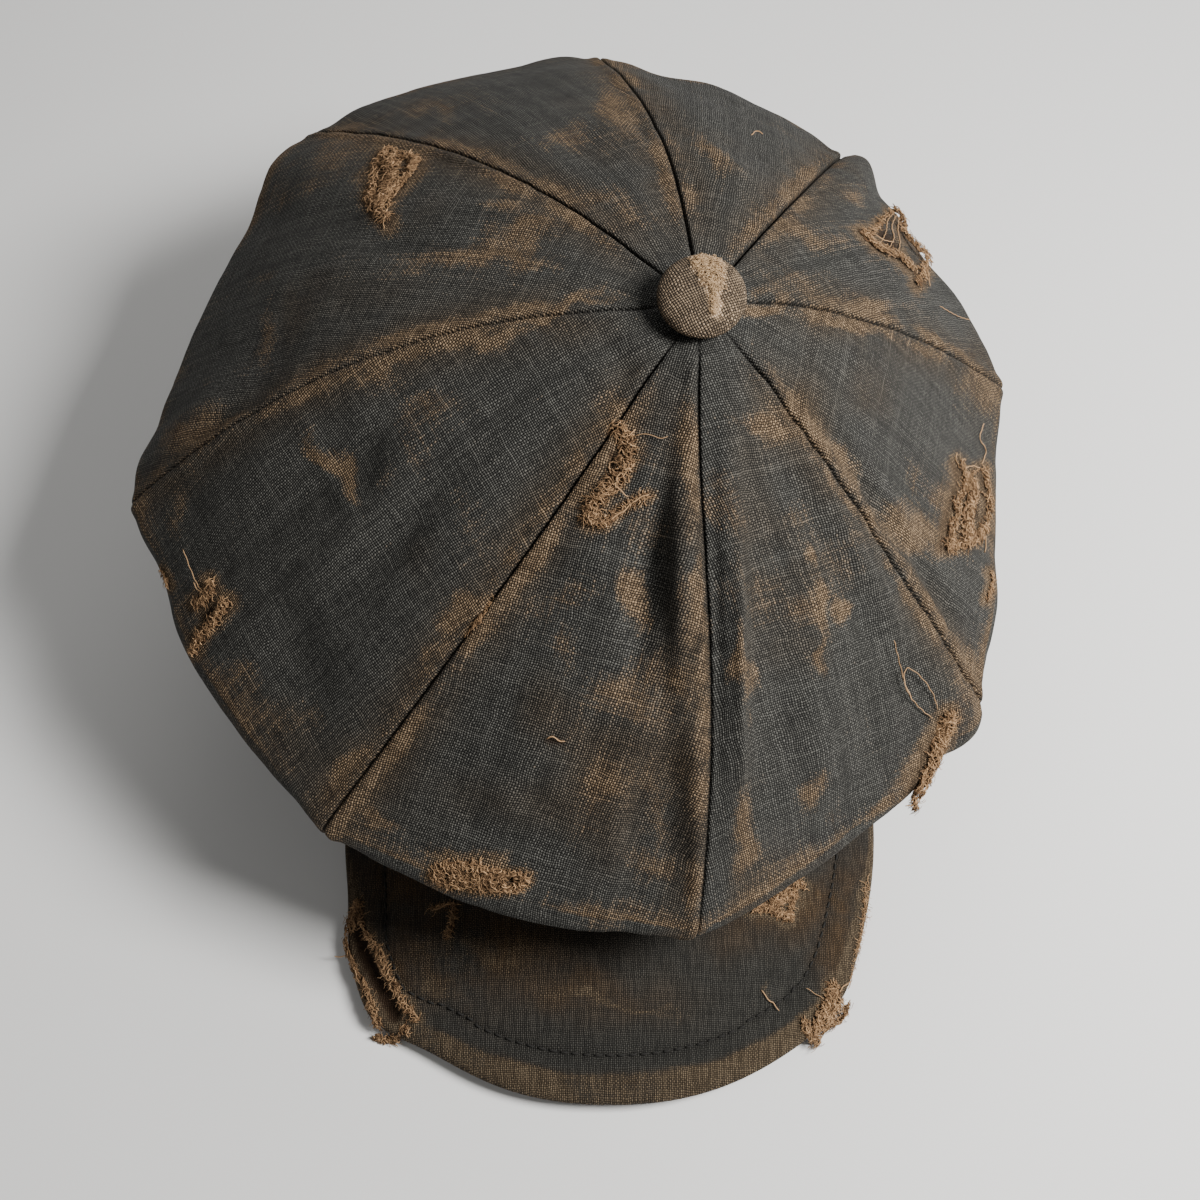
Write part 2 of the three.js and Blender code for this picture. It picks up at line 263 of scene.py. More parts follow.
# Outer face of one panel, before its fine relief: points, and distances to its two seams
def panelShape(panel):
    first, second = seams[panel], seams[(panel + 1) % 8]
    corners = [lines[(panel + k) % 8] for k in (-1, 0, 1, 2)]
    ring = ringBetween(corners, acrossAt)
    across = acrossAt[None, :, None]
    chord = corners[1][:, None, :] * (1 - across) + corners[2][:, None, :] * across
    underShare = np.clip((rowAt - foldRow - 1) / (footRow - foldRow - 1), 0, 1)
    fullness = first["round"] + (1 - first["round"]) * underShare ** 1.4
    points = chord + (ring - chord) * fullness[:, None, None]
    last = second["foot"] + (360 if second["foot"] < first["foot"] else 0)
    foot = np.radians(first["foot"] + (last - first["foot"]) * acrossAt)
    seated = smooth(rowAt, neckRow - 2.2, neckRow)[:, None, None]
    atNeck = onBand(foot, crown["neck"])[None] + 0 * points
    atNeck[-1] = onBand(foot, 0.0)
    points = points + (atNeck - points) * seated
    width = np.linalg.norm(corners[2] - corners[1], axis=-1)[:, None]
    fromFirst = acrossAt[None, :] * width
    fromSecond = (1 - acrossAt[None, :]) * width
    swell = crown["puff"] * np.minimum(1, rowAt / (foldRow - 3)) * np.minimum(1, (footRow - rowAt) / 5)
    lift = swell[:, None] * np.sin(np.pi * acrossAt)[None, :]
    for crease in creases:
        if crease["offset"] > 0 and crease["seam"] == panel:
            distance = fromFirst
        elif crease["offset"] < 0 and crease["seam"] == (panel + 1) % 8:
            distance = fromSecond
        else:
            continue
        start, stop = crease["start"], crease["stop"]
        lengthwise = hump(np.minimum(alongAt, 1.0) - (start + stop) / 2, (stop - start) / 2)
        crosswise = hump(distance - abs(crease["offset"]), crease["width"])
        crosswise = crosswise * smooth(distance, 0, crown["creaseFade"])
        lift = lift + crease["depth"] * lengthwise[:, None] * crosswise
    outward = unit(points - np.array(crown["heart"]))
    points = points + outward * (lift * (1 - seated[..., 0]))[..., None]
    away = points - np.array(crown["top"])
    collar = np.exp(-(np.linalg.norm(away[..., :2], axis=-1) / crown["collarWidth"]) ** 4)
    points[..., 2] += (crown["collarRise"] + crown["collarSlope"] * away[..., 1]) * collar
    return points


# Distances measured on the cloth: to both seams, and the flat pattern's own coordinates
def panelMeasures(points):
    steps = np.linalg.norm(np.diff(points, axis=1), axis=-1)
    acrossLength = np.concatenate([np.zeros((len(points), 1)), np.cumsum(steps, axis=1)], axis=1)
    total = acrossLength[:, -1:]
    downSteps = np.linalg.norm(np.diff(points, axis=0), axis=-1)
    downLength = np.concatenate([np.zeros((1, points.shape[1])), np.cumsum(downSteps, axis=0)]) + crown["tip"]
    down = unit(np.gradient(points, axis=0))
    sideways = unit(np.gradient(points, axis=1))
    square = np.linalg.norm(np.cross(down, sideways), axis=-1)
    fromFirst = acrossLength * square[:, :1]
    fromSecond = (total - acrossLength) * square[:, -1:]
    centre = points.shape[1] // 2
    centreLength = downLength[:, centre:centre + 1]
    fromCentre = acrossLength - acrossLength[:, centre:centre + 1]
    flatDown = (downLength ** 2 + centreLength ** 2 - fromCentre ** 2) / (2 * centreLength)
    flatAcross = np.sign(fromCentre) * np.sqrt(np.maximum(0, downLength ** 2 - flatDown ** 2))
    return fromFirst, fromSecond, flatAcross, flatDown, downLength


# Soft dents, ridges and drag lines seen in the photo, placed by its pixels.
# fromX, fromY, toX, toY: the fold's line. width in pixels; depth in millimetres, minus is a hollow.
foldColumns = ("fromX", "fromY", "toX", "toY", "width", "depth")
foldRows = [
    (668, 430, 630, 710, 15, -3.0), (690, 420, 676, 720, 12, 1.6), (668, 740, 660, 905, 22, -2.4),
    (692, 690, 702, 900, 11, 1.4), (640, 640, 625, 880, 26, 1.6), (712, 420, 718, 840, 7, -1.0),
    (741, 540, 743, 810, 6, 1.2), (768, 450, 790, 800, 26, -2.0),
    (800, 440, 905, 640, 13, 1.8), (775, 440, 880, 650, 13, -1.6), (560, 700, 480, 860, 26, 1.5),
    (400, 790, 620, 870, 24, -1.5), (292, 400, 352, 520, 8, 0.7), (380, 400, 360, 520, 12, -0.6),
    (180, 420, 235, 360, 16, 1.5), (200, 450, 290, 330, 20, -1.8), (260, 560, 330, 760, 30, -2.2),
    (430, 420, 330, 560, 26, 1.4), (700, 140, 750, 190, 10, 1.8), (720, 110, 790, 170, 16, -1.5),
    (820, 230, 940, 300, 18, 1.5), (790, 240, 850, 262, 12, -1.3), (900, 430, 960, 560, 20, -1.6),
    (540, 110, 620, 170, 22, -1.6), (450, 200, 560, 215, 16, 1.3), (330, 230, 440, 255, 20, -1.4),
    (890, 535, 962, 655, 8, 1.8), (918, 560, 962, 640, 11, -2.2), (520, 390, 440, 500, 20, -1.2),
    (600, 330, 640, 400, 12, -1.2), (560, 560, 620, 560, 18, 1.0), (500, 760, 560, 830, 16, -1.2),
    (800, 700, 840, 800, 20, 1.2), (850, 640, 880, 760, 22, -1.4), (760, 200, 800, 240, 10, 1.0),
]
folds = [dict(zip(foldColumns, row)) for row in foldRows]


def foldRelief(px, py, facing):
    total = 0 * px
    for fold in folds:
        ax, ay = fold["fromX"], fold["fromY"]
        lx, ly = fold["toX"] - ax, fold["toY"] - ay
        size = lx * lx + ly * ly
        t = ((px - ax) * lx + (py - ay) * ly) / size
        away = np.abs((px - ax) * ly - (py - ay) * lx) / math.sqrt(size)
        total = total + fold["depth"] * ridge(away, 0, fold["width"]) * hump(t - 0.5, 0.75)
    return total * smooth(facing, 0.1, 0.35)


# Wear that the photo shows as brown, rubbed cloth, placed by its pixels: long and wide are half sizes
wearColumns = ("x", "y", "long", "wide", "turn", "strength")
wearRows = [
    (797, 562, 24, 7, -78, 0.9), (812, 618, 40, 11, -72, 1.1), (836, 622, 14, 12, 0, 1.0),
    (822, 665, 20, 6, -80, 0.9), (775, 435, 28, 12, -35, 0.9), (920, 530, 46, 26, -10, 0.95),
    (868, 520, 30, 12, -48, 1.0), (962, 668, 24, 16, -50, 1.0), (625, 590, 16, 34, 10, 1.0),
    (470, 262, 90, 9, 0, 0.8), (520, 245, 40, 16, 20, 0.7), (810, 805, 8, 16, 0, 0.9),
    (430, 330, 90, 7, 14, 0.9), (540, 312, 90, 7, 4, 0.9), (850, 325, 70, 9, -16, 0.9),
    (460, 262, 75, 24, 8, 0.75), (505, 262, 30, 16, 20, 0.5), (380, 180, 45, 22, 60, 0.7),
    (200, 430, 55, 24, 25, 0.8), (180, 450, 40, 14, -50, 0.6), (335, 470, 48, 9, -52, 0.9),
    (385, 370, 40, 18, 30, 0.7), (270, 280, 24, 12, 40, 0.5), (170, 520, 30, 16, 60, 0.6),
    (470, 610, 38, 16, 50, 0.9), (430, 660, 26, 12, 50, 0.6), (360, 770, 40, 14, 55, 0.8),
    (570, 590, 60, 20, 5, 0.45), (600, 780, 34, 24, 60, 0.7), (660, 810, 26, 60, 10, 0.6),
    (688, 590, 16, 60, 0, 0.8), (690, 690, 14, 40, 0, 0.6), (655, 870, 36, 20, 0, 0.6),
    (740, 660, 8, 70, 4, 0.8), (735, 840, 14, 46, -8, 0.8), (810, 620, 34, 17, -70, 0.95),
    (790, 420, 34, 15, -40, 0.7), (835, 470, 32, 12, -52, 0.8), (905, 520, 36, 18, -40, 0.8),
    (925, 590, 32, 12, -70, 0.5), (815, 790, 22, 12, 60, 0.7), (890, 800, 40, 12, 35, 0.8),
    (800, 235, 52, 14, -28, 0.8), (860, 190, 26, 20, 30, 0.7), (870, 315, 60, 10, -12, 0.7),
    (770, 305, 40, 9, 0, 0.8), (620, 120, 44, 22, -65, 0.7), (560, 130, 40, 16, 10, 0.55),
    (715, 150, 40, 12, -50, 0.7), (770, 125, 30, 14, -30, 0.6), (620, 205, 42, 16, -20, 0.6),
    (430, 110, 70, 16, 15, 0.6), (350, 130, 40, 12, 0, 0.7), (480, 330, 80, 12, 10, 0.8),
    (560, 305, 60, 10, 6, 0.8), (620, 430, 18, 46, 20, 0.8), (380, 830, 40, 14, -10, 0.7),
    (470, 870, 60, 14, -8, 0.8), (700, 925, 22, 14, 0, 0.7), (130, 500, 20, 20, 0, 0.7),
    (985, 380, 22, 26, 20, 0.7), (975, 690, 20, 20, 0, 0.7), (210, 610, 34, 20, 60, 0.8),
    (893, 240, 44, 30, -40, 0.8), (965, 500, 50, 28, 80, 0.8), (935, 750, 50, 26, 60, 0.8),
    (255, 345, 40, 12, 60, 0.5), (545, 505, 44, 10, 45, 0.5), (640, 520, 40, 20, 80, 0.5),
]
wearMarks = [dict(zip(wearColumns, row)) for row in wearRows]


# The edges of the patches are wobbled by noise, in pixels
edgeWobble = {"x": ((15, 45, 61), (6, 16, 62)), "y": ((15, 45, 63), (6, 16, 64))}


def rubbed(px, py, facing, marks):
    total = 0 * px
    spot = np.stack([px, py, 0 * px], axis=-1)
    px = px + layered(spot, edgeWobble["x"])
    py = py + layered(spot, edgeWobble["y"])
    for mark in marks:
        turn = math.radians(mark["turn"])
        dx, dy = px - mark["x"], mark["y"] - py
        lengthwise = dx * math.cos(turn) + dy * math.sin(turn)
        crosswise = dy * math.cos(turn) - dx * math.sin(turn)
        near = np.exp(-(lengthwise / mark["long"]) ** 2 - (crosswise / mark["wide"]) ** 2)
        total = np.maximum(total, mark["strength"] * near)
    return total * smooth(facing, 0.05, 0.3)


def alongSeam(distance, seed, size):
    return softNoise(np.stack([distance, 0 * distance, 0 * distance + seed * 3.7], axis=-1), size, 40 + seed)


# How high the cloth's edge stands beside a seam and how rubbed it is, in the panels after and before it
seamSides = {"front": {"raised": (0.0, 1.2), "rubbed": (0.15, 0.9)},
             "other": {"raised": (1.0, 0.55), "rubbed": (0.95, 0.75)}}
linenNoise = {"soft": ((1.1, 38, 3), (0.55, 17, 4)), "fine": ((0.2, 7, 5), (0.07, 3, 6)),
              "scattered": ((1, 34, 9), (0.5, 13, 10)), "stained": ((1, 42, 17), (0.6, 18, 18))}


# Fine relief of one panel: sunk seams, turned edges, puckers, soft dents and the photo's folds
def panelDetail(panel, points):
    normals = surfaceNormals(points)
    fromFirst, fromSecond, flatAcross, flatDown, downLength = panelMeasures(points)
    rise = 0 * fromFirst
    seamWear = 0 * fromFirst
    for side, distance, seamNumber in ((0, fromFirst, panel), (1, fromSecond, (panel + 1) % 8)):
        here = downLength[:, :1] if side == 0 else downLength[:, -1:]
        start = smooth(here, 8, 26)
        edge = seamSides["front" if seamNumber == 0 else "other"]
        welt = crown["weltHeight"] * edge["raised"][side]
        welt = welt * ridge(distance, crown["weltFrom"], crown["weltWidth"])
        groove = crown["grooveDepth"] * ridge(distance, 0, crown["grooveWidth"])
        ripple = alongSeam(here, seamNumber, crown["puckerLength"]) * crown["pucker"]
        ripple = ripple + alongSeam(here, seamNumber + 9, 2.4 * crown["puckerLength"]) * crown["pucker"]
        pull = crown["stitchPull"] * np.sin(here * 2.4 + seamNumber) * ridge(distance, 1.6, 1.3)
        rise = rise + start * (welt - groove + pull)
        rise = rise + ripple * start * ridge(distance, 3, 5.5)
        patchy = 0.62 + 0.5 * alongSeam(here, seamNumber + 20 + side, 16)
        patchy = patchy + 0.22 * alongSeam(here, seamNumber + 30 + side, 5)
        worn = np.clip(patchy, 0, 1) * ridge(distance, 2.6, 3.4)
        seamWear = np.maximum(seamWear, edge["rubbed"][side] * worn * smooth(here, 12, 40))
    near = np.minimum(fromFirst, fromSecond)
    toBand = smooth(footRow - rowAt, 0.3, 2.5)[:, None]
    soft = layered(points * np.array([1, 1, 1.4]), linenNoise["soft"])
    fine = layered(points, linenNoise["fine"])
    px, py, facing = photoPixels(points, normals)
    relief = foldRelief(px, py, facing) * smooth(near, 0.5, 5)
    rise = rise + smooth(near, 2, 14) * toBand * soft + toBand * (relief + fine)
    points = points + normals * rise[..., None]
    normals = surfaceNormals(points)
    foldWear = ridge(alongAt, 1.02, 0.05)[:, None] * (0.5 + 0.55 * softNoise(points, 22, 8))
    patches = rubbed(px, py, facing, wearMarks)
    scattered = 0.42 * smooth(layered(points, linenNoise["scattered"]), 0.35, 0.9)
    ridges = smooth(relief, 0.5, 2.2) * (0.55 + 0.4 * softNoise(points, 9, 12))
    wear = np.maximum.reduce([seamWear, np.clip(foldWear, 0, 1), patches, scattered, ridges])
    stain = 0.4 * smooth(layered(points, linenNoise["stained"]), 0.0, 0.9) + 0.45 * ridge(near, 3, 7)
    stain = np.clip(stain, 0, 1) * smooth(downLength, 14, 42)
    if panel == 0:
        stain = stain * smooth(fromFirst, 5, 14)
    # Along the sunk seam lines the colour is darkened: painted shade in the seam grooves, together with dirt
    return {"points": points, "normals": normals, "flat": np.stack([flatAcross, flatDown], axis=-1),
            "wear": wear, "shadeAndGrime": 0.85 * ridge(near, 0, 0.42), "tearShade": 0 * wear, "stain": stain,
            "px": px, "py": py, "facing": facing}


# Turns a grid of rows and columns into a mesh, by shaping a grid primitive
def gridPiece(name, data, closeRound=False):
    points = data["points"][::-1]
    rows, columns = points.shape[:2]
    bpy.ops.mesh.primitive_grid_add(x_subdivisions=columns - 1, y_subdivisions=rows - 1, size=1)
    piece = bpy.context.object
    piece.name = name
    mesh = piece.data
    mesh.name = name
    placed = ((points.reshape(-1, 3) + headMiddle) * mm).astype(np.float32)
    mesh.vertices.foreach_set("co", placed.ravel())
    corner = np.zeros(len(mesh.loops), np.int32)
    mesh.loops.foreach_get("vertex_index", corner)
    flat = (data["flat"][::-1].reshape(-1, 2) * mm)[corner]
    mesh.uv_layers[0].name = "cloth"
    mesh.uv_layers[0].data.foreach_set("uv", flat.astype(np.float32).ravel())
    for key in ("wear", "shadeAndGrime", "tearShade", "stain"):
        attribute = mesh.attributes.new(key, "FLOAT", "POINT")
        value = data.get(key, 0 * data["wear"])
        attribute.data.foreach_set("value", value[::-1].reshape(-1).astype(np.float32))
    mesh.update()
    if closeRound:
        bpy.ops.object.mode_set(mode="EDIT")
        bpy.ops.mesh.select_all(action="SELECT")
        bpy.ops.mesh.remove_doubles(threshold=0.00002)
        bpy.ops.mesh.normals_make_consistent(inside=False)
        bpy.ops.object.mode_set(mode="OBJECT")
    bpy.ops.object.shade_smooth()
    return piece


def applyModifier(piece, kind, **settings):
    bpy.ops.object.select_all(action="DESELECT")
    piece.select_set(True)
    bpy.context.view_layer.objects.active = piece
    bpy.ops.object.modifier_add(type=kind)
    modifier = piece.modifiers[-1]
    for key, value in settings.items():
        setattr(modifier, key, value)
    bpy.ops.object.modifier_apply(modifier=modifier.name)


def finishPiece(piece, slotName, material, *nodes):
    piece.data.materials.clear()
    piece.data.materials.append(material)
    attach(piece, "root")
    if nodes:
        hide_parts(*nodes)
    piece.select_set(False)


# Materials
def feed(tree, socket, value):
    if isinstance(value, bpy.types.NodeSocket):
        tree.links.new(value, socket)
    else:
        socket.default_value = value


def put(tree, kind, inputs=None, **settings):
    node = tree.nodes.new(kind)
    for key, value in settings.items():
        setattr(node, key, value)
    for key, value in (inputs or {}).items():
        feed(tree, node.inputs[key], value)
    return node


def calc(tree, operation, a, b=0.0, c=0.0):
    return put(tree, "ShaderNodeMath", {0: a, 1: b, 2: c}, operation=operation).outputs[0]


def mixColour(tree, share, a, b, blend="MIX"):
    return put(tree, "ShaderNodeMix", {0: share, 6: a, 7: b}, data_type="RGBA", blend_type=blend).outputs[2]


def mixNumber(tree, share, a, b):
    return put(tree, "ShaderNodeMix", {0: share, 2: a, 3: b}, data_type="FLOAT").outputs[0]


def rangeOf(tree, value, low, high, toLow=0.0, toHigh=1.0):
    node = put(tree, "ShaderNodeMapRange", {0: value, 1: low, 2: high, 3: toLow, 4: toHigh},
               interpolation_type="SMOOTHSTEP")
    return node.outputs[0]


def noiseOf(tree, vector, scale, detail, roughness=0.5):
    return put(tree, "ShaderNodeTexNoise", {"Vector": vector, "Scale": scale, "Detail": detail,
                                            "Roughness": roughness}).outputs[0]


def stretchedNoise(tree, vector, stretch, detail):
    turned = put(tree, "ShaderNodeMapping", {"Vector": vector, "Scale": stretch})
    return noiseOf(tree, turned.outputs[0], 1.0, detail)


def whiteNoise(tree, dimensions, key, value):
    return put(tree, "ShaderNodeTexWhiteNoise", {key: value}, noise_dimensions=dimensions).outputs[0]


def addBump(tree, shader, height, strength, distance):
    bump = put(tree, "ShaderNodeBump", {"Height": height, "Strength": strength, "Distance": distance})
    tree.links.new(bump.outputs[0], shader.inputs["Normal"])


def newGroup(name, inputs, outputs):
    tree = bpy.data.node_groups.new(name, "ShaderNodeTree")
    for label, kind, value in inputs:
        socket = tree.interface.new_socket(label, in_out="INPUT", socket_type=kind)
        if value is not None:
            socket.default_value = value
    for label in outputs:
        tree.interface.new_socket(label, in_out="OUTPUT", socket_type="NodeSocketFloat")
    return tree, tree.nodes.new("NodeGroupInput"), tree.nodes.new("NodeGroupOutput")


def newMaterial(name):
    material = bpy.data.materials.new(name)
    material.use_nodes = True
    return material, material.node_tree, material.node_tree.nodes["Principled BSDF"]


# Sizes are in threads. Tones are a factor and what is added to it, some after a power.
weaveLook = {"swayScale": 0.09, "sway": (3.0, 3.0, 0.0), "roundness": 0.45,
             "slubs": ((0.9, 0.07, 1.0), (0.07, 0.9, 1.0)), "threadTone": (0.56, 0.68),
             "paleThread": (12.0, 0.5), "cellTone": (1.4, 0.56, 0.76), "warpTone": (0.55, 0.72)}


# Plain weave: a bump for each crossing, longer along the thread that lies on top
def makeWeaveGroup():
    tree, source, out = newGroup("plainWeave", [
        ("Cloth", "NodeSocketVector", None), ("Threads", "NodeSocketFloat", 1450.0),
        ("Crosswise", "NodeSocketFloat", 0.5)], ("Height", "Tone", "Slub"))
    scaled = put(tree, "ShaderNodeVectorMath", {0: source.outputs["Cloth"]}, operation="SCALE")
    tree.links.new(source.outputs["Threads"], scaled.inputs["Scale"])
    sway = put(tree, "ShaderNodeTexNoise",
               {"Vector": scaled.outputs[0], "Scale": weaveLook["swayScale"], "Detail": 2.0})
    centred = put(tree, "ShaderNodeVectorMath", {0: sway.outputs["Color"], 1: (0.5, 0.5, 0.5)},
                  operation="SUBTRACT")
    swayed = put(tree, "ShaderNodeVectorMath",
                 {0: centred.outputs[0], 1: weaveLook["sway"], 2: scaled.outputs[0]},
                 operation="MULTIPLY_ADD").outputs[0]
    parts = put(tree, "ShaderNodeSeparateXYZ", {0: swayed})
    x, y = parts.outputs[0], parts.outputs[1]
    waveX = calc(tree, "SINE", calc(tree, "MULTIPLY", x, math.pi))
    waveY = calc(tree, "SINE", calc(tree, "MULTIPLY", y, math.pi))
    warpOnTop = calc(tree, "GREATER_THAN", calc(tree, "MULTIPLY", waveX, waveY), 0.0)
    sizeX, sizeY = calc(tree, "ABSOLUTE", waveX), calc(tree, "ABSOLUTE", waveY)
    warp = calc(tree, "MULTIPLY", sizeX, calc(tree, "POWER", sizeY, weaveLook["roundness"]))
    weft = calc(tree, "MULTIPLY", sizeY, calc(tree, "POWER", sizeX, weaveLook["roundness"]))
    crossing = mixNumber(tree, warpOnTop, weft, warp)
    column, row = calc(tree, "FLOOR", x), calc(tree, "FLOOR", y)
    perWarp = whiteNoise(tree, "1D", "W", column)
    perWeft = whiteNoise(tree, "1D", "W", calc(tree, "ADD", row, 0.37))
    perThread = mixNumber(tree, warpOnTop, perWeft, perWarp)
    cell = put(tree, "ShaderNodeCombineXYZ", {0: column, 1: row}).outputs[0]
    perCell = whiteNoise(tree, "2D", "Vector", cell)
    slubs = [stretchedNoise(tree, swayed, stretch, 1.0) for stretch in weaveLook["slubs"]]
    slub = mixNumber(tree, source.outputs["Crosswise"], *slubs)
    palePower, pale = weaveLook["paleThread"]
    cellPower, cellShare, cellLeast = weaveLook["cellTone"]
    threadTone = calc(tree, "MULTIPLY_ADD", perThread, *weaveLook["threadTone"])
    threadTone = calc(tree, "MULTIPLY_ADD", calc(tree, "POWER", perThread, palePower), pale, threadTone)
    cellTone = calc(tree, "MULTIPLY_ADD", calc(tree, "POWER", perCell, cellPower), cellShare, cellLeast)
    tone = calc(tree, "MULTIPLY", threadTone, cellTone)
    tone = calc(tree, "MULTIPLY", tone, calc(tree, "MULTIPLY_ADD", warpOnTop, *weaveLook["warpTone"]))
    height = calc(tree, "MULTIPLY", crossing, calc(tree, "MULTIPLY_ADD", tone, 0.3, 0.7))
    for label, value in (("Height", height), ("Tone", tone), ("Slub", slub)):
        tree.links.new(value, out.inputs[label])
    return tree


# Noise scales are per metre. Each weight says how much its noise, less its middle, adds to the wear.
wearLook = {"cloudScale": 60.0, "wideScale": 16.0, "streaks": ((900.0, 45.0, 1.0), (45.0, 900.0, 1.0)),
            "cloud": (0.5, 0.95), "streak": (0.55, 0.7), "wide": (0.5, 0.5), "weave": (0.98, 0.16),
            "edge": (0.24, 0.8)}


# Wear: an attribute's rubbed places, broken up by cloudy noise, streaks along the threads and the weave
def makeWearGroup():
    tree, source, out = newGroup("rubbedWear", [
        ("Place", "NodeSocketVector", None), ("Cloth", "NodeSocketVector", None),
        ("Amount", "NodeSocketFloat", 0.0), ("Tone", "NodeSocketFloat", 0.5)], ("Mask", "Cloud"))
    cloud = noiseOf(tree, source.outputs["Place"], wearLook["cloudScale"], 6.0, 0.62)
    wide = noiseOf(tree, source.outputs["Place"], wearLook["wideScale"], 3.0)
    streaks = [stretchedNoise(tree, source.outputs["Cloth"], stretch, 2.0) for stretch in wearLook["streaks"]]
    streak = calc(tree, "MAXIMUM", *streaks)
    parts = {"cloud": cloud, "streak": streak, "wide": wide, "weave": source.outputs["Tone"]}
    value = source.outputs["Amount"]
    for key, part in parts.items():
        middle, weight = wearLook[key]
        value = calc(tree, "MULTIPLY_ADD", calc(tree, "SUBTRACT", part, middle), weight, value)
    clouds = calc(tree, "MULTIPLY_ADD", cloud, 0.6, calc(tree, "MULTIPLY", wide, 0.4))
    tree.links.new(rangeOf(tree, value, *wearLook["edge"]), out.inputs["Mask"])
    tree.links.new(clouds, out.inputs["Cloud"])
    return tree


clothLook = {
    "crownLinen": {"gap": (0.0027, 0.0025, 0.0021, 1), "thread": (0.094, 0.091, 0.080, 1),
                   "brownGap": (0.009, 0.0052, 0.0028, 1), "tan": (0.255, 0.177, 0.106, 1),
                   "extra": 0.0, "threads": 1540.0, "crosswise": 0.5, "slub": (0.76, 1.34),
                   "stained": (1.45, 0.92, 0.46, 1)},
    "bandLinen": {"gap": (0.0027, 0.0025, 0.0021, 1), "thread": (0.090, 0.087, 0.076, 1),
                  "brownGap": (0.009, 0.0052, 0.0028, 1), "tan": (0.23, 0.16, 0.096, 1),
                  "extra": 0.04, "threads": 1540.0, "crosswise": 0.5, "slub": (0.76, 1.34),
                  "stained": (1.45, 0.92, 0.46, 1)},
    "peakLinen": {"gap": (0.010, 0.0094, 0.0080, 1), "thread": (0.046, 0.0435, 0.037, 1),
                  "brownGap": (0.024, 0.0165, 0.0098, 1), "tan": (0.128, 0.095, 0.059, 1),
                  "extra": -0.03, "threads": 1850.0, "crosswise": 0.08, "slub": (0.66, 2.0),
                  "stained": (2.1, 1.24, 0.58, 1)},
    "buttonLinen": {"gap": (0.009, 0.006, 0.0038, 1), "thread": (0.25, 0.182, 0.118, 1),
                    "brownGap": (0.22, 0.145, 0.085, 1), "tan": (0.62, 0.45, 0.29, 1),
                    "extra": 0.0, "threads": 1400.0, "crosswise": 0.5, "slub": (0.85, 1.15),
                    "stained": (1.45, 0.92, 0.46, 1)},
}
# Near-black for painted shade in the seam and stitch grooves, under the crown's edge and under the button,
# with dirt in the seams
shadeAndGrimeColour = (0.003, 0.0025, 0.002, 1)
# Dark brown for painted shade in the holes and under the frayed yarn piles
holeShadeColour = (0.016, 0.0075, 0.0032, 1)


def makeCloth(name):
    look = clothLook[name]
    material, tree, shader = newMaterial(name)
    place = put(tree, "ShaderNodeTexCoord").outputs["Object"]
    cloth = put(tree, "ShaderNodeUVMap", uv_map="cloth").outputs[0]
    worn, shadeAndGrime, tearShade, stain = (put(tree, "ShaderNodeAttribute", attribute_name=key).outputs["Fac"]
                                for key in ("wear", "shadeAndGrime", "tearShade", "stain"))
    weave = put(tree, "ShaderNodeGroup", {"Cloth": cloth, "Threads": look["threads"],
                                          "Crosswise": look["crosswise"]}, node_tree=weaveGroup)
    height, tone, slub = (weave.outputs[key] for key in ("Height", "Tone", "Slub"))
    amount = calc(tree, "ADD", worn, look["extra"])
    wear = put(tree, "ShaderNodeGroup", {"Place": place, "Cloth": cloth, "Tone": tone, "Amount": amount},
               node_tree=wearGroup)
    mask = wear.outputs["Mask"]
    # Thread crossings lighter, gaps between them near-black: each thread's own tone with painted light on the
    # crossings' tops and painted shade in the gaps
    lit = calc(tree, "MULTIPLY", rangeOf(tree, height, 0.24, 0.74), calc(tree, "MULTIPLY", tone, 0.66))
    lit = calc(tree, "MULTIPLY", lit, rangeOf(tree, slub, 0.4, 0.66, *look["slub"]))
    plain = mixColour(tree, lit, look["gap"], look["thread"])
    stained = mixColour(tree, 1.0, plain, look["stained"], "MULTIPLY")
    stainShare = calc(tree, "MULTIPLY", stain, rangeOf(tree, wear.outputs["Cloud"], 0.28, 0.55))
    plain = mixColour(tree, stainShare, plain, stained)
    rubbedCloth = mixColour(tree, lit, look["brownGap"], look["tan"])
    colour = mixColour(tree, mask, plain, rubbedCloth)
    # Painted shade darkens the grooves, the band's top and the button's underside, with dirt in the seams;
    # the holes and the cloth under frayed piles take painted shade as well
    colour = mixColour(tree, calc(tree, "MULTIPLY", shadeAndGrime, 0.8), colour, shadeAndGrimeColour)
    colour = mixColour(tree, tearShade, colour, holeShadeColour)
    tree.links.new(colour, shader.inputs["Base Color"])
    tree.links.new(rangeOf(tree, mask, 0.0, 1.0, 0.72, 0.92), shader.inputs["Roughness"])
    shader.inputs["Specular IOR Level"].default_value = 0.14
    addBump(tree, shader, calc(tree, "MULTIPLY_ADD", slub, 0.3, height), 0.9, 0.0003)
    return material


def makeYarn(name, dark, light):
    material, tree, shader = newMaterial(name)
    place = put(tree, "ShaderNodeTexCoord").outputs["Object"]
    # The per-yarn tone, with painted shade for yarns deep in a frayed pile, chooses between the dark and
    # light colours
    toneAndShade = put(tree, "ShaderNodeAttribute", attribute_name="toneAndShade").outputs["Fac"]
    fibre = noiseOf(tree, place, 4200.0, 2.0)
    share = calc(tree, "MULTIPLY_ADD", calc(tree, "SUBTRACT", fibre, 0.5), 0.5, toneAndShade)
    colour = mixColour(tree, rangeOf(tree, share, 0.0, 1.0), dark, light)
    tree.links.new(colour, shader.inputs["Base Color"])
    shader.inputs["Roughness"].default_value = 0.85
    shader.inputs["Specular IOR Level"].default_value = 0.25
    addBump(tree, shader, fibre, 0.6, 0.0001)
    return material


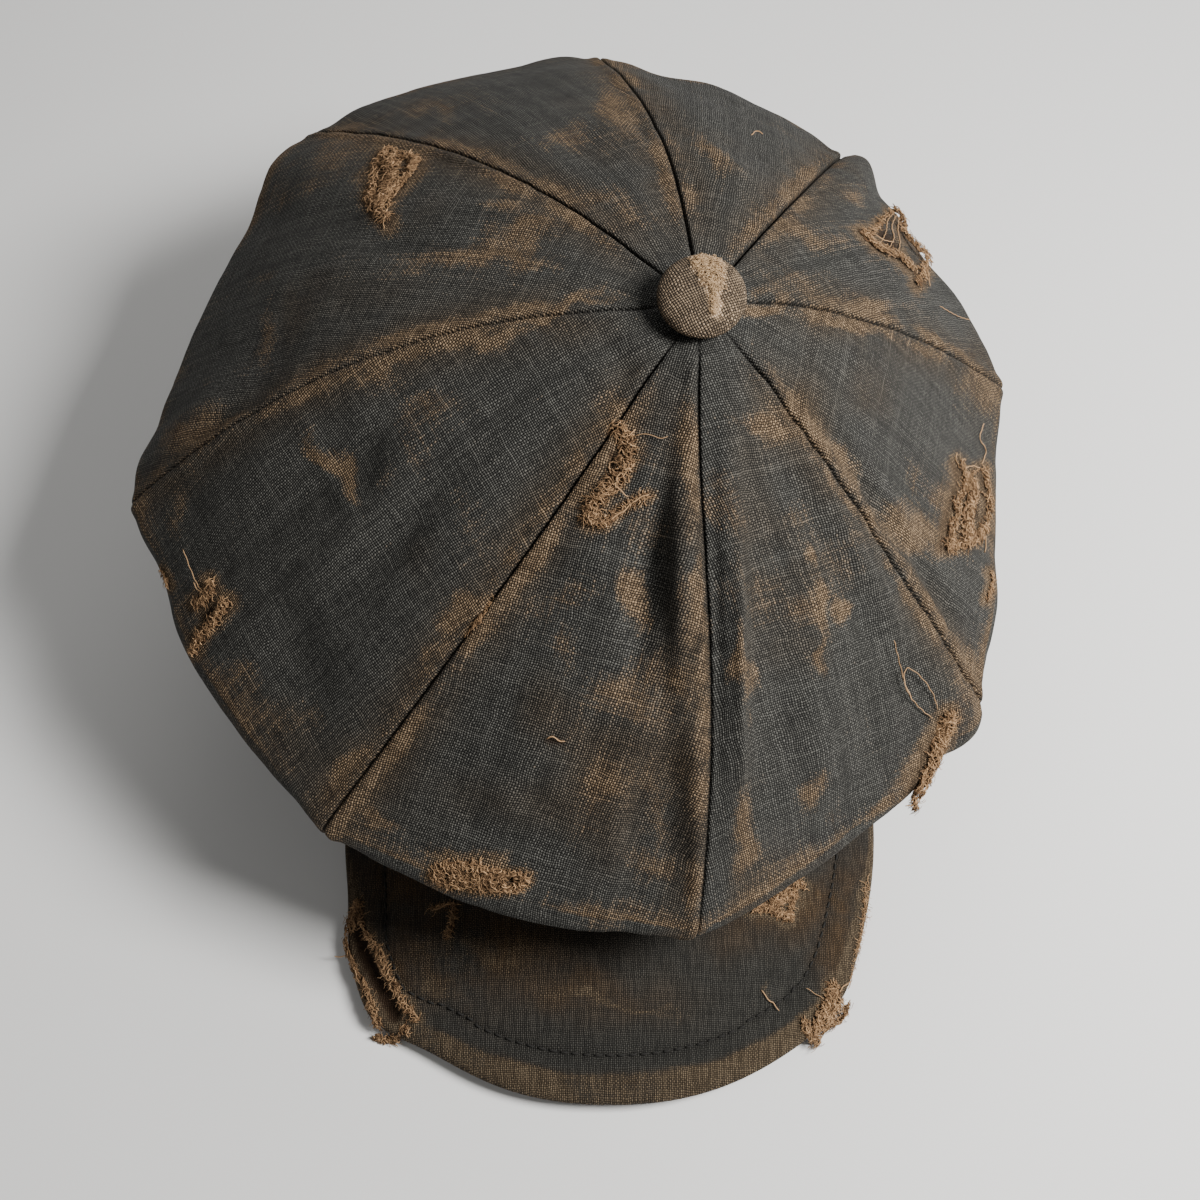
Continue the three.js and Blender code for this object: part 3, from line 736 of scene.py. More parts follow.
weaveGroup = makeWeaveGroup()
wearGroup = makeWearGroup()
crownLinen, bandLinen, peakLinen, buttonLinen = (makeCloth(name) for name in clothLook)
frayedYarn = makeYarn("frayedYarn", (0.072, 0.036, 0.015, 1), (0.37, 0.228, 0.118, 1))
paleYarn = makeYarn("paleYarn", (0.18, 0.108, 0.053, 1), (0.52, 0.355, 0.20, 1))
stitchYarn = makeYarn("stitchYarn", (0.004, 0.004, 0.004, 1), (0.018, 0.016, 0.013, 1))
print("materials made")

# Frayed edges follow lines through the photo's pixels: the piece they sit on, the pile's half width in
# millimetres, how many broken yarns it has, and the line.
frayColumns = ("home", "wide", "yarns", "path")
frayRows = [
    ("crown", 2.2, 150, [(616, 428), (626, 440), (627, 460), (617, 478), (604, 492), (592, 508), (590, 521)]),
    ("crown", 1.1, 45, [(590, 522), (602, 524), (616, 514), (630, 503), (648, 495)]),
    ("crown", 1.6, 80, [(959, 462), (964, 480), (957, 500), (954, 520), (946, 546)]),
    ("crown", 1.3, 70, [(985, 468), (985, 482), (989, 503), (985, 522), (974, 540)]),
    ("crown", 1.8, 80, [(945, 548), (960, 544), (974, 538), (984, 528)]),
    ("crown", 0.4, 8, [(966, 478), (976, 470), (985, 468)]),
    ("crown", 0.4, 8, [(966, 500), (978, 492), (988, 498)]),
    ("crown", 1.8, 120, [(388, 150), (378, 166), (375, 186), (371, 201), (380, 213), (388, 221)]),
    ("crown", 1.6, 120, [(389, 152), (402, 156), (416, 161), (411, 172), (400, 186), (388, 198)]),
    ("crown", 2.4, 150, [(391, 160), (392, 176), (387, 194), (381, 210)]),
    ("crown", 2.2, 150, [(969, 480), (971, 494), (966, 512), (967, 530), (962, 542)]),
    ("crown", 2.6, 150, [(948, 718), (941, 734), (934, 752), (926, 774), (915, 796)]),
    ("crown", 1.8, 90, [(452, 876), (478, 878), (505, 880)]),
    ("peak", 1.8, 70, [(770, 902), (780, 898), (788, 892)]),
    ("peak", 2.4, 120, [(836, 998), (828, 1012), (818, 1028)]),
    ("crown", 1.7, 140, [(893, 210), (901, 220), (903, 234), (915, 246), (926, 256), (922, 272), (916, 284)]),
    ("crown", 1.7, 110, [(862, 232), (874, 246), (886, 252), (900, 258), (912, 270)]),
    ("crown", 0.9, 34, [(893, 210), (880, 222), (872, 232), (864, 236)]),
    ("crown", 1.5, 160, [(951, 712), (943, 722), (938, 742), (932, 760), (923, 778), (912, 795), (914, 808)]),
    ("crown", 1.0, 50, [(951, 712), (948, 730), (940, 748), (936, 765)]),
    ("crown", 1.6, 100, [(434, 876), (447, 867), (470, 867), (485, 870)]),
    ("crown", 1.2, 100, [(436, 879), (452, 883), (470, 885), (484, 886), (500, 889), (518, 885), (527, 878)]),
    ("crown", 0.9, 40, [(484, 870), (500, 871), (516, 875), (527, 878)]),
    ("peak", 0.5, 16, [(431, 909), (443, 906), (454, 903)]),
    ("peak", 0.8, 36, [(455, 905), (454, 918), (450, 930), (448, 938)]),
    ("peak", 1.4, 60, [(359, 903), (354, 916), (352, 932)]),
    ("peak", 1.2, 110, [(350, 919), (348, 943), (354, 964), (367, 991), (375, 1015), (379, 1026)]),
    ("peak", 1.2, 110, [(359, 903), (364, 930), (376, 948), (386, 972), (396, 991), (407, 1007),
                        (417, 1020)]),
    ("peak", 1.5, 70, [(375, 1036), (391, 1039), (407, 1028)]),
    ("peak", 1.0, 70, [(750, 908), (760, 901), (770, 894), (780, 885), (790, 880), (798, 882), (804, 889)]),
    ("peak", 1.2, 50, [(752, 909), (766, 909), (776, 912), (786, 919)]),
    ("peak", 0.9, 40, [(793, 882), (793, 898), (789, 912), (788, 920)]),
    ("peak", 1.6, 120, [(834, 984), (830, 998), (822, 1014), (815, 1028), (812, 1044)]),
    ("peak", 1.1, 50, [(846, 1004), (842, 1016), (832, 1022), (822, 1030)]),
    ("peak", 1.0, 40, [(803, 1020), (808, 1032), (818, 1042)]),
    ("crown", 1.5, 60, [(209, 582), (212, 592), (204, 600), (197, 604)]),
    ("crown", 1.5, 110, [(226, 600), (220, 614), (210, 626), (200, 638), (194, 652)]),
    ("crown", 0.7, 24, [(990, 572), (992, 582), (989, 592), (986, 600)]),
    ("crown", 0.6, 10, [(162, 570), (166, 578), (169, 586)]),
    ("crown", 0.5, 26, [(491, 600), (486, 612), (478, 622), (468, 634)]),
]
frays = [dict(zip(frayColumns, row)) for row in frayRows]

# Holes between the frayed edges, sunk and filled with painted shade: the piece, half width and depth in
# millimetres, and the line in photo pixels
holeRows = [
    ("crown", 0.8, 0.9, [(403, 174), (399, 186)]), ("crown", 0.9, 0.9, [(978, 500), (977, 514)]),
    ("crown", 0.8, 0.9, [(941, 724), (941, 734)]), ("crown", 0.9, 0.9, [(496, 878), (510, 879)]),
    ("peak", 0.9, 0.8, [(778, 898), (784, 893)]), ("crown", 0.8, 0.8, [(612, 454), (612, 464)]),
    ("peak", 2.3, 1.5, [(357, 932), (362, 952), (374, 976), (384, 996), (394, 1016)]),
    ("crown", 1.6, 0.9, [(884, 232), (894, 246)]), ("crown", 1.0, 0.8, [(204, 618), (212, 610)]),
    ("peak", 0.9, 0.8, [(826, 1012), (822, 1024)]), ("crown", 0.6, 0.6, [(548, 738), (562, 741)]),
]


# Distance in the picture, in millimetres on the cloth, from each point to a line
def awayFrom(path, px, py):
    nearest = np.full(px.shape, 1e9)
    for (ax, ay), (bx, by) in zip(path, path[1:]):
        lx, ly = bx - ax, by - ay
        t = np.clip(((px - ax) * lx + (py - ay) * ly) / (lx * lx + ly * ly), 0, 1)
        nearest = np.minimum(nearest, np.hypot(px - ax - t * lx, py - ay - t * ly))
    return nearest / camera["pixelsPerMm"]


# How deep frayed edges sink, in millimetres, and how much painted shade darkens them and the holes between
# them
tear = {"fraySunk": 0.3, "frayShade": 0.35, "holeShade": 0.9}

# Places for threads: every point and normal of the cloth's outer faces
clothPoints = []
clothNormals = []
clothHomes = []


def tearInto(data, home):
    px, py = data["px"], data["py"]
    seen = smooth(data["facing"], 0.02, 0.2)
    sunk, dark, around = 0 * px, 0 * px, 0 * px
    for fray in frays:
        if fray["home"] != home:
            continue
        away = awayFrom(fray["path"], px, py)
        under = np.exp(-(away / (0.85 * fray["wide"])) ** 4)
        sunk = np.maximum(sunk, tear["fraySunk"] * under)
        dark = np.maximum(dark, tear["frayShade"] * under)
        around = np.maximum(around, np.exp(-(away / (1.4 * fray["wide"] + 1.4)) ** 2))
    for owner, wide, depth, path in holeRows:
        if owner != home:
            continue
        inside = np.exp(-(awayFrom(path, px, py) / wide) ** 4)
        sunk = np.maximum(sunk, depth * inside)
        dark = np.maximum(dark, tear["holeShade"] * inside)
    data["points"] = data["points"] - data["normals"] * (sunk * seen)[..., None]
    # The darkening under the frayed piles and in the holes is painted shade
    data["tearShade"] = np.maximum(data["tearShade"], dark * seen)
    data["wear"] = np.maximum(data["wear"], around * seen)
    clothPoints.append(data["points"].reshape(-1, 3))
    clothNormals.append(data["normals"].reshape(-1, 3))
    clothHomes.append(home)


for panel, name in enumerate(panelNames):
    data = panelDetail(panel, panelShape(panel))
    tearInto(data, "crown")
    piece = gridPiece(name.replace("panel", "crown_panel"), data)
    applyModifier(piece, "SOLIDIFY", thickness=crown["cloth"] * mm, offset=-1.0)
    bpy.ops.object.shade_smooth_by_angle(angle=math.radians(60))
    finishPiece(piece, "crown_linen", crownLinen, name)
print("crown panels made")

# Band: a round section swept round the head oval, with a stitched lower edge
band = {"around": 300, "edgeRound": 1.1, "stitchUp": 5.0, "stitchDeep": 0.35, "ripple": 0.35,
        "fineRipple": 0.12}


def bandShape():
    turn = np.linspace(0, 2 * np.pi, band["around"] + 1)
    low, high = bandBottomAt(turn), bandTopAt(turn)
    wall, soft = head["bandWall"], band["edgeRound"]
    arc = np.linspace(0, np.pi / 2, 5)
    side = np.linspace(0, 1, 14)[1:-1]
    section = []
    for t in arc:
        section.append((wall - soft + soft * math.sin(t), 0, soft - soft * math.cos(t)))
    for t in side:
        section.append((wall, t, 0))
    for t in arc:
        section.append((wall - soft + soft * math.cos(t), 1, -soft + soft * math.sin(t)))
    for t in arc:
        section.append((soft - soft * math.sin(t), 1, -soft + soft * math.cos(t)))
    for t in side:
        section.append((0, 1 - t, 0))
    for t in arc:
        section.append((soft - soft * math.cos(t), 0, soft - soft * math.sin(t)))
    section.append(section[0])
    rows = []
    for out, up, extra in section:
        inside = soft if 0 < up < 1 else 0
        height = low + inside + (high - low - 2 * inside) * up + extra
        rows.append(ovalPoint(turn, out, height))
    points = np.stack(rows[::-1])
    points[:, -1] = points[:, 0]
    outward = unit(ovalPoint(turn, 0, 0 * turn))
    out = np.array([s[0] for s in section[::-1]])[:, None] / wall
    up = points[..., 2] - low[None]
    wave = softNoise(points * np.array([1, 1, 0.5]), 20, 14) * band["ripple"]
    wave = wave + band["fineRipple"] * softNoise(points, 5, 15)
    middle = smooth(up, 1.5, 6) * smooth((high - low)[None] - up, 1.0, 5)
    stitchGroove = band["stitchDeep"] * ridge(up, band["stitchUp"], 0.8) * (out > 0.8)
    points = points + outward[None] * (wave * middle - stitchGroove)[..., None]
    steps = np.linalg.norm(np.diff(ovalPoint(turn, 3, 0 * turn), axis=0), axis=-1)
    around = np.concatenate([[0], np.cumsum(steps)])
    lengthDown = np.concatenate([[0], np.cumsum(np.linalg.norm(np.diff(points[:, 0], axis=0), axis=-1))])
    flat = np.stack(np.broadcast_arrays(around[None, :], lengthDown[:, None]), axis=-1)
    edge = ridge(up, 0, 2.6) + 0.5 * ridge(up, band["stitchUp"], 2.2)
    wear = np.clip(edge * (0.6 + 0.5 * softNoise(points, 15, 16)), 0, 1)
    # Darker at the band's top edge, under the crown: painted shade
    shadeAndGrime = 0.8 * ridge((high - low)[None], up, 1.6)
    return {"points": points, "flat": flat, "wear": wear, "shadeAndGrime": shadeAndGrime, "tearShade": 0 * wear}


bandData = bandShape()
bandPiece = gridPiece("head_band", bandData, closeRound=True)
finishPiece(bandPiece, "band_linen", bandLinen, "band")
print("band made")

# Peak: covered board, its edge rounded, with a topstitch line inside the edge
peak = {"thickness": 3.8, "halfWidth": 84.0, "centre": -60.0, "length": 97.0, "square": 2.25,
        "endAngle": 60.0, "lift": 3.0, "bulge": 2.2, "columns": 170, "rows": 56, "stitchIn": 12.3,
        "piping": 0.5, "soft": 1.4, "stitchDeep": 0.35, "baseOut": 0.6, "underside": 0.3, "bevel": 0.9,
        "dents": ((0.4, 24, 20), (0.1, 6, 21)), "stripEnds": 3.0, "stripMiddle": 5.6}
peakMarks = [dict(zip(wearColumns, row)) for row in [
    (475, 948, 80, 36, -6, 0.62), (445, 985, 40, 20, 0, 0.55), (610, 997, 72, 6, -14, 0.8),
    (800, 905, 34, 14, 20, 0.5), (864, 900, 8, 70, 0, 0.8), (770, 1000, 12, 5, -60, 0.6),
    (560, 908, 50, 8, -12, 0.5), (362, 930, 10, 60, 10, 0.5),
]]
peakStains = [dict(zip(wearColumns, row)) for row in [
    (470, 935, 105, 60, 5, 1.0), (410, 900, 60, 46, 0, 0.9), (800, 905, 70, 30, 20, 0.8),
    (842, 930, 22, 70, 0, 0.8), (580, 985, 80, 26, -10, 0.6), (380, 960, 30, 70, 20, 0.8),
]]

# The frayed edge strip sags outward: where along the edge, by the photo's pixels, and how far
looseEdges = ((-1, 1000, 38, 7.0), (-1, 945, 36, 4.0), (1, 1000, 50, 2.8))


def peakShape():
    side = np.linspace(-1, 1, peak["columns"] + 1)
    baseAngle = np.radians(-90 + side * peak["endAngle"])
    base = ovalPoint(baseAngle, peak["baseOut"], bandBottomAt(baseAngle) - head["gap"])
    edgeAngle = side * np.pi / 2
    power = 2 / peak["square"]
    edge = np.stack([np.sign(side) * peak["halfWidth"] * np.abs(np.sin(edgeAngle)) ** power,
                     peak["centre"] - peak["length"] * np.abs(np.cos(edgeAngle)) ** power,
                     peak["thickness"] + peak["lift"] * np.cos(edgeAngle) ** 2], axis=-1)
    edgeDown = photoPixels(edge)[1]
    away = unit((edge - np.array([0, peak["centre"], 0])) * np.array([1, 1, 0]))
    for half, middle, spread, sag in looseEdges:
        edge = edge + away * (sag * ridge(edgeDown, middle, spread) * (side * half > 0))[:, None]
    share = np.linspace(0, 1, peak["rows"] + 1)
    share = 1 - (1 - share) ** 1.25
    points = base[None] + (edge - base)[None] * share[:, None, None]
    bulge = peak["bulge"] * np.sin(np.pi * share)[:, None] * np.cos(edgeAngle)[None]
    points[..., 2] = np.maximum(points[..., 2] + bulge, peak["thickness"])
    flatEdge = edge[:, :2]
    toEdge = np.min(np.linalg.norm(points[:, :, None, :2] - flatEdge[None, None], axis=-1), axis=2)
    normals = surfaceNormals(points)
    px, py, facing = photoPixels(points, normals)
    padded = peak["piping"] * smooth(toEdge, 0, 3) * smooth(-toEdge, -peak["stitchIn"], -peak["stitchIn"] + 4)
    groove = peak["stitchDeep"] * ridge(toEdge, peak["stitchIn"], 0.7)
    soft = layered(points, peak["dents"]) * smooth(toEdge, 1, 6)
    points = points + normals * (padded - groove + soft)[..., None]
    overRim = 1 - np.clip(toEdge / peak["soft"], 0, 1)
    points[..., 2] -= peak["soft"] * (1 - np.sqrt(1 - overRim ** 2))
    wear = rubbed(px, py, facing, peakMarks)
    strip = peak["stripEnds"] + peak["stripMiddle"] * np.cos(edgeAngle)[None]
    strip = strip + 1.2 * softNoise(points, 16, 22)
    edgeWear = smooth(strip - toEdge, -0.6, 2.4) * (0.82 + 0.25 * softNoise(points, 9, 23))
    wear = np.maximum(wear, np.clip(edgeWear, 0, 1))
    # Darker along the sunk stitch groove: painted shade
    shadeAndGrime = 0.35 * ridge(toEdge, peak["stitchIn"], 0.8)
    stain = np.maximum(rubbed(px, py, facing, peakStains), 0.5 * edgeWear)
    data = {"points": points, "normals": surfaceNormals(points), "flat": points[..., :2].copy(),
            "wear": wear, "shadeAndGrime": shadeAndGrime, "tearShade": 0 * wear, "stain": stain,
            "px": px, "py": py, "facing": facing}
    return data, toEdge


peakData, peakToEdge = peakShape()
tearInto(peakData, "peak")
peakPiece = gridPiece("peak_cover", peakData)
applyModifier(peakPiece, "SOLIDIFY", thickness=(peak["thickness"] - peak["underside"]) * mm, offset=-1.0)
applyModifier(peakPiece, "BEVEL", width=peak["bevel"] * mm, segments=3, limit_method="ANGLE",
              angle_limit=math.radians(50))
bpy.ops.object.shade_smooth_by_angle(angle=math.radians(50))
finishPiece(peakPiece, "peak_linen", peakLinen, "peak")
print("peak made")

# Button: a covered disc with a pinched rim, which leans towards the peak
button = {"radius": 12.0, "height": 6.6, "segments": 128, "rings": 56, "lean": 16.0, "standOff": 2.8,
          "dents": ((0.18, 5, 30), (0.1, 2.4, 31)), "weaveTurn": 0.45,
          "pleats": ((0.16, 23, 0.0), (0.12, 37, 1.0)),
          "worn": ((708, 268, 22, 16, -60), (714, 294, 24, 8, -84), (702, 258, 14, 9, -30))}


def leanButton(points):
    lean = math.radians(button["lean"])
    y, z = points[..., 1], points[..., 2]
    turned = np.stack([points[..., 0], y * math.cos(lean) - z * math.sin(lean),
                       y * math.sin(lean) + z * math.cos(lean)], axis=-1)
    return turned + np.array(crown["top"]) + np.array([0, 0, button["standOff"]])


def buttonShape():
    turn = np.linspace(0, 2 * np.pi, button["segments"] + 1)
    fall = np.linspace(0, 1, button["rings"] + 1)
    angle = fall * np.pi * 0.86
    out = np.sin(angle) ** 0.72
    out = np.where(angle > np.pi / 2, 1 - 0.34 * ((angle - np.pi / 2) / (0.36 * np.pi)) ** 2, out)
    up = np.where(angle < np.pi / 2, 0.42 + 0.58 * np.maximum(0, np.cos(angle)) ** 1.1,
                  0.42 - 0.42 * np.sin(np.clip((angle - np.pi / 2) / (0.36 * np.pi), 0, 1) * np.pi / 2))
    pleat = sum(deep * np.sin(turn * count + ahead) for deep, count, ahead in button["pleats"])
    rim = smooth(fall, 0.52, 0.95)
    radius = button["radius"] * (out[:, None] - 0.03 * rim[:, None]) + pleat[None] * rim[:, None]
    steps = np.hypot(np.diff(out) * button["radius"], np.diff(up) * button["height"])
    flatOut = np.concatenate([[0], np.cumsum(steps)])[:, None]
    heights = button["height"] * up[:, None] + 0 * radius
    points = np.stack([radius * np.cos(turn), radius * np.sin(turn), heights], axis=-1)
    points[..., 2] += layered(points, button["dents"]) * (1 - rim[:, None])
    points = leanButton(points)
    weaveTurn = turn - button["weaveTurn"]
    flat = np.stack([flatOut * np.cos(weaveTurn), flatOut * np.sin(weaveTurn)], axis=-1)
    normals = surfaceNormals(points)
    normals[0] = normals[1]
    px, py, facing = photoPixels(points, normals)
    worn = 0 * px
    for x, y, long, wide, way in button["worn"]:
        turned = math.radians(way)
        dx, dy = px - x + 3 * softNoise(points, 1.6, 32), y - py + 3 * softNoise(points, 1.6, 33)
        lengthwise = dx * math.cos(turned) + dy * math.sin(turned)
        crosswise = dy * math.cos(turned) - dx * math.sin(turned)
        worn = np.maximum(worn, np.exp(-((lengthwise / long) ** 2 + (crosswise / wide) ** 2) ** 2))
    worn = worn * smooth(facing, 0.1, 0.4)
    clothPoints.append(points.reshape(-1, 3))
    clothNormals.append(normals.reshape(-1, 3))
    clothHomes.append("button")
    # The button's lower rim and underside are darkened: painted shade under the button
    return {"points": points, "flat": flat, "wear": worn, "tearShade": 0 * worn,
            "shadeAndGrime": smooth(fall, 0.66, 0.9)[:, None] + 0 * worn}


buttonPiece = gridPiece("covered_button", buttonShape(), closeRound=True)
bpy.ops.object.mode_set(mode="EDIT")
bpy.ops.mesh.select_all(action="DESELECT")
bpy.ops.mesh.select_non_manifold()
bpy.ops.mesh.edge_face_add()
bpy.ops.mesh.select_all(action="SELECT")
bpy.ops.mesh.normals_make_consistent(inside=False)
bpy.ops.object.mode_set(mode="OBJECT")
finishPiece(buttonPiece, "button_linen", buttonLinen, "button")
print("button made")

# Loose yarns lie on the cloth: the nearest outer face gives each point its place and its way out
allPoints = np.concatenate(clothPoints)
allNormals = np.concatenate(clothNormals)
allHomes = np.concatenate([np.full(len(points), home) for points, home in zip(clothPoints, clothHomes)])
allX, allY, allFacing = photoPixels(allPoints, allNormals)
tree = KDTree(len(allPoints))
for index, point in enumerate(allPoints):
    tree.insert(Vector(point), index)
tree.balance()


# The nearest place on the cloth to a point, and the cloth's way out there
def settle(point):
    index = tree.find(Vector(point))[1]
    normal = allNormals[index]
    flat = np.asarray(point) - normal * np.dot(normal, np.asarray(point) - allPoints[index])
    return flat, normal


# The point on the ray through a pixel of the photo, at the depth of the cloth that it meets or passes
def spotAt(home, x, y):
    miss = np.hypot(allX - x, allY - y) + 1000 * (allFacing < 0.05) + 5000 * (allHomes != home)
    depth = np.linalg.norm(allPoints - eye, axis=1)
    near = np.where(miss < max(6.0, miss.min() + 2))[0]
    index = near[np.argmin(depth[near] + 2 * miss[near])]
    ray = viewAhead + np.array([(x - middlePixel) / focal, 0, 0])
    ray = unit(ray + viewUp * (middlePixel - y) / focal)
    level = np.dot(allNormals[index], ray)
    reach = np.dot(allPoints[index] - eye, ray)
    if abs(level) > 0.25:
        plane = np.dot(allPoints[index] - eye, allNormals[index]) / level
        reach = np.clip(plane, reach - 3, reach + 3)
    return eye + ray * reach, allNormals[index]


# Tubes through lists of points, all in one mesh, each with its own tone, which for frayed yarns also holds
# painted shade deep in the pile
def yarnMesh(name, strands, sides=3):
    vertices, faces, tonesAndShades = [], [], []
    for points, radius, toneAndShade in strands:
        points = np.asarray(points)
        points[:, 2] = np.maximum(points[:, 2], radius + 0.3)
        count = len(points)
        tonesAndShades.extend([toneAndShade] * (count * sides))
        ahead = unit(np.gradient(points, axis=0))
        aside = unit(np.cross(ahead, np.array([0.31, 0.22, 0.93])))
        above = np.cross(ahead, aside)
        turn = np.arange(sides) * 2 * np.pi / sides
        taper = np.minimum(1, np.minimum(np.arange(count), np.arange(count)[::-1]) / 1.5 + 0.35)
        ring = (np.cos(turn)[None, :, None] * aside[:, None] + np.sin(turn)[None, :, None] * above[:, None])
        tube = points[:, None] + ring * (radius * taper)[:, None, None]
        start = len(vertices)
        vertices.extend(tube.reshape(-1, 3))
        for row in range(count - 1):
            for k in range(sides):
                a, b = start + row * sides + k, start + row * sides + (k + 1) % sides
                faces.append((a, b, b + sides, a + sides))
        faces.append(tuple(start + k for k in range(sides))[::-1])
        faces.append(tuple(start + (count - 1) * sides + k for k in range(sides)))
    mesh = bpy.data.meshes.new(name)
    placed = (np.array(vertices) + headMiddle) * mm
    mesh.from_pydata(placed.tolist(), [], faces)
    mesh.update()
    mesh.polygons.foreach_set("use_smooth", [True] * len(mesh.polygons))
    mesh.attributes.new("toneAndShade", "FLOAT", "POINT").data.foreach_set("value", np.array(tonesAndShades, np.float32))
    piece = bpy.data.objects.new(name, mesh)
    bpy.context.scene.collection.objects.link(piece)
    return piece


pile = {"fullness": 2.1, "thin": 0.12, "thick": 0.25, "hair": 0.08, "hairShare": 0.3,
        "crimp": 0.15, "crimpLength": 1.3, "step": 0.4, "mound": 0.9}


# A smooth line through places found by the photo's pixels, with its points about step millimetres apart
def lineThrough(home, path, step=0.5):
    places, normals = (np.array(found) for found in zip(*[spotAt(home, x, y) for x, y in path]))
    knots = np.arange(len(places))
    ahead = np.gradient(places, axis=0)
    steps = np.linalg.norm(np.diff(places, axis=0), axis=1)
    share = np.linspace(0, len(places) - 1, max(4, int(steps.sum() / step)))
    index = np.minimum(share.astype(int), len(places) - 2)
    t = (share - index)[:, None]
    line = ((1 + 2 * t) * (1 - t) ** 2 * places[index] + t * (1 - t) ** 2 * ahead[index]
            + t * t * (3 - 2 * t) * places[index + 1] - t * t * (1 - t) * ahead[index + 1])
    return line, unit(np.stack([np.interp(share, knots, normals[:, axis]) for axis in range(3)], axis=-1))


# One short, crimped, curling yarn about a place in the pile
def brokenYarn(centre, normal, way, length, low, high, curl):
    count = max(5, int(length / pile["step"]))
    t = np.linspace(-0.5, 0.5, count)
    aside = np.cross(normal, way)
    phase = rng.uniform(0, 6.28, 3)
    forward = np.sin(curl * t) / curl * length
    sideways = (1 - np.cos(curl * t)) / curl * length
    crimp = pile["crimp"] * np.sin(t * length / pile["crimpLength"] * 6.28 + phase[0])
    other = pile["crimp"] * np.sin(t * length / pile["crimpLength"] * 6.28 + phase[1])
    height = low + (high - low) * (t + 0.5) + 0.5 * (high - low) * np.cos(np.pi * t) + np.abs(other)
    return (centre + way * forward[:, None] + aside * (sideways + crimp)[:, None]
            + normal * np.maximum(0.08, height)[:, None])


def frayedPile(fray):
    line, normals = lineThrough(fray["home"], fray["path"])
    ahead = unit(np.gradient(line, axis=0))
    strands = []
    wide = fray["wide"]
    reach = fray.get("reach", 1.0)
    for number in range(int(fray["yarns"] * pile["fullness"])):
        index = rng.integers(len(line))
        normal = normals[index]
        along = unit(ahead[index] - normal * np.dot(ahead[index], normal))
        aside = np.cross(normal, along)
        out = np.clip(rng.normal(0, 0.6), -1.3, 1.3)
        mound = pile["mound"] * fray.get("flat", 1.0) * wide * (1 - 0.6 * out * out)
        level = rng.random()
        hair = rng.random() < fray.get("hairs", pile["hairShare"])
        length = reach * (rng.uniform(2.4, 5.5) if hair else rng.uniform(1.3, 2.0 + 0.9 * wide))
        turn = rng.normal(0, 0.95) + rng.choice([-1, 1]) * math.pi / 2
        way = along * math.cos(turn) + aside * math.sin(turn)
        low = 0.1 + 0.55 * level * mound
        high = low + rng.uniform(0.1, 0.8) * (0.4 + mound * 0.5) * (1.5 if hair else 1)
        curl = rng.choice([-1, 1]) * rng.uniform(0.3, 3.2)
        centre = line[index] + aside * out * wide + along * rng.uniform(-0.4, 0.4)
        radius = pile["hair"] if hair else rng.uniform(pile["thin"], pile["thick"])
        # Yarns low in the pile are darker, higher ones lighter: painted shade by depth, with a random tone on
        # top
        toneAndShade = np.clip(0.22 + 0.5 * level + rng.normal(0, 0.16) + fray.get("pale", 0.0), 0, 1)
        strands.append((brokenYarn(centre, normal, way, length, low, high, curl), radius, toneAndShade))
    if "hairs" not in fray:
        strands.extend(lengthwiseYarns(line, normals, wide, int(0.3 * fray["yarns"])))
    return strands


# Yarns that wind along the pile, and thick soft ones low down that fill it
def lengthwiseYarns(line, normals, wide, count):
    strands = []
    aside = np.cross(normals, unit(np.gradient(line, axis=0)))
    for number in range(count):
        filling = number % 4 == 0
        reach = int(rng.uniform(6, 18)) if filling else int(rng.uniform(6, 14))
        begin = rng.integers(0, max(1, len(line) - reach + 1))
        part = slice(begin, min(len(line), begin + reach))
        share = np.linspace(0, 1, len(line[part]))
        wander = rng.uniform(-0.7, 0.7)
        out = wide * (wander + 0.35 * np.sin(share * rng.uniform(2, 7) + rng.uniform(0, 6.28)))
        level = rng.uniform(0.05, 0.25) if filling else rng.uniform(0.2, 0.85)
        bob = 0.35 * np.sin(share * rng.uniform(3, 9) + rng.uniform(0, 6))
        rise = 0.1 + wide * pile["mound"] * level * (0.75 + bob)
        points = line[part] + aside[part] * out[:, None] + normals[part] * rise[:, None]
        points = points + rng.normal(0, 0.07, points.shape)
        radius = rng.uniform(0.3, 0.3 + 0.16 * wide) if filling else rng.uniform(pile["thin"], pile["thick"])
        # Filling yarns lie low and take a darker tone: painted shade deep in the pile
        strands.append((points, radius, np.clip((0.3 if filling else 0.5) + rng.normal(0, 0.16), 0, 1)))
    return strands


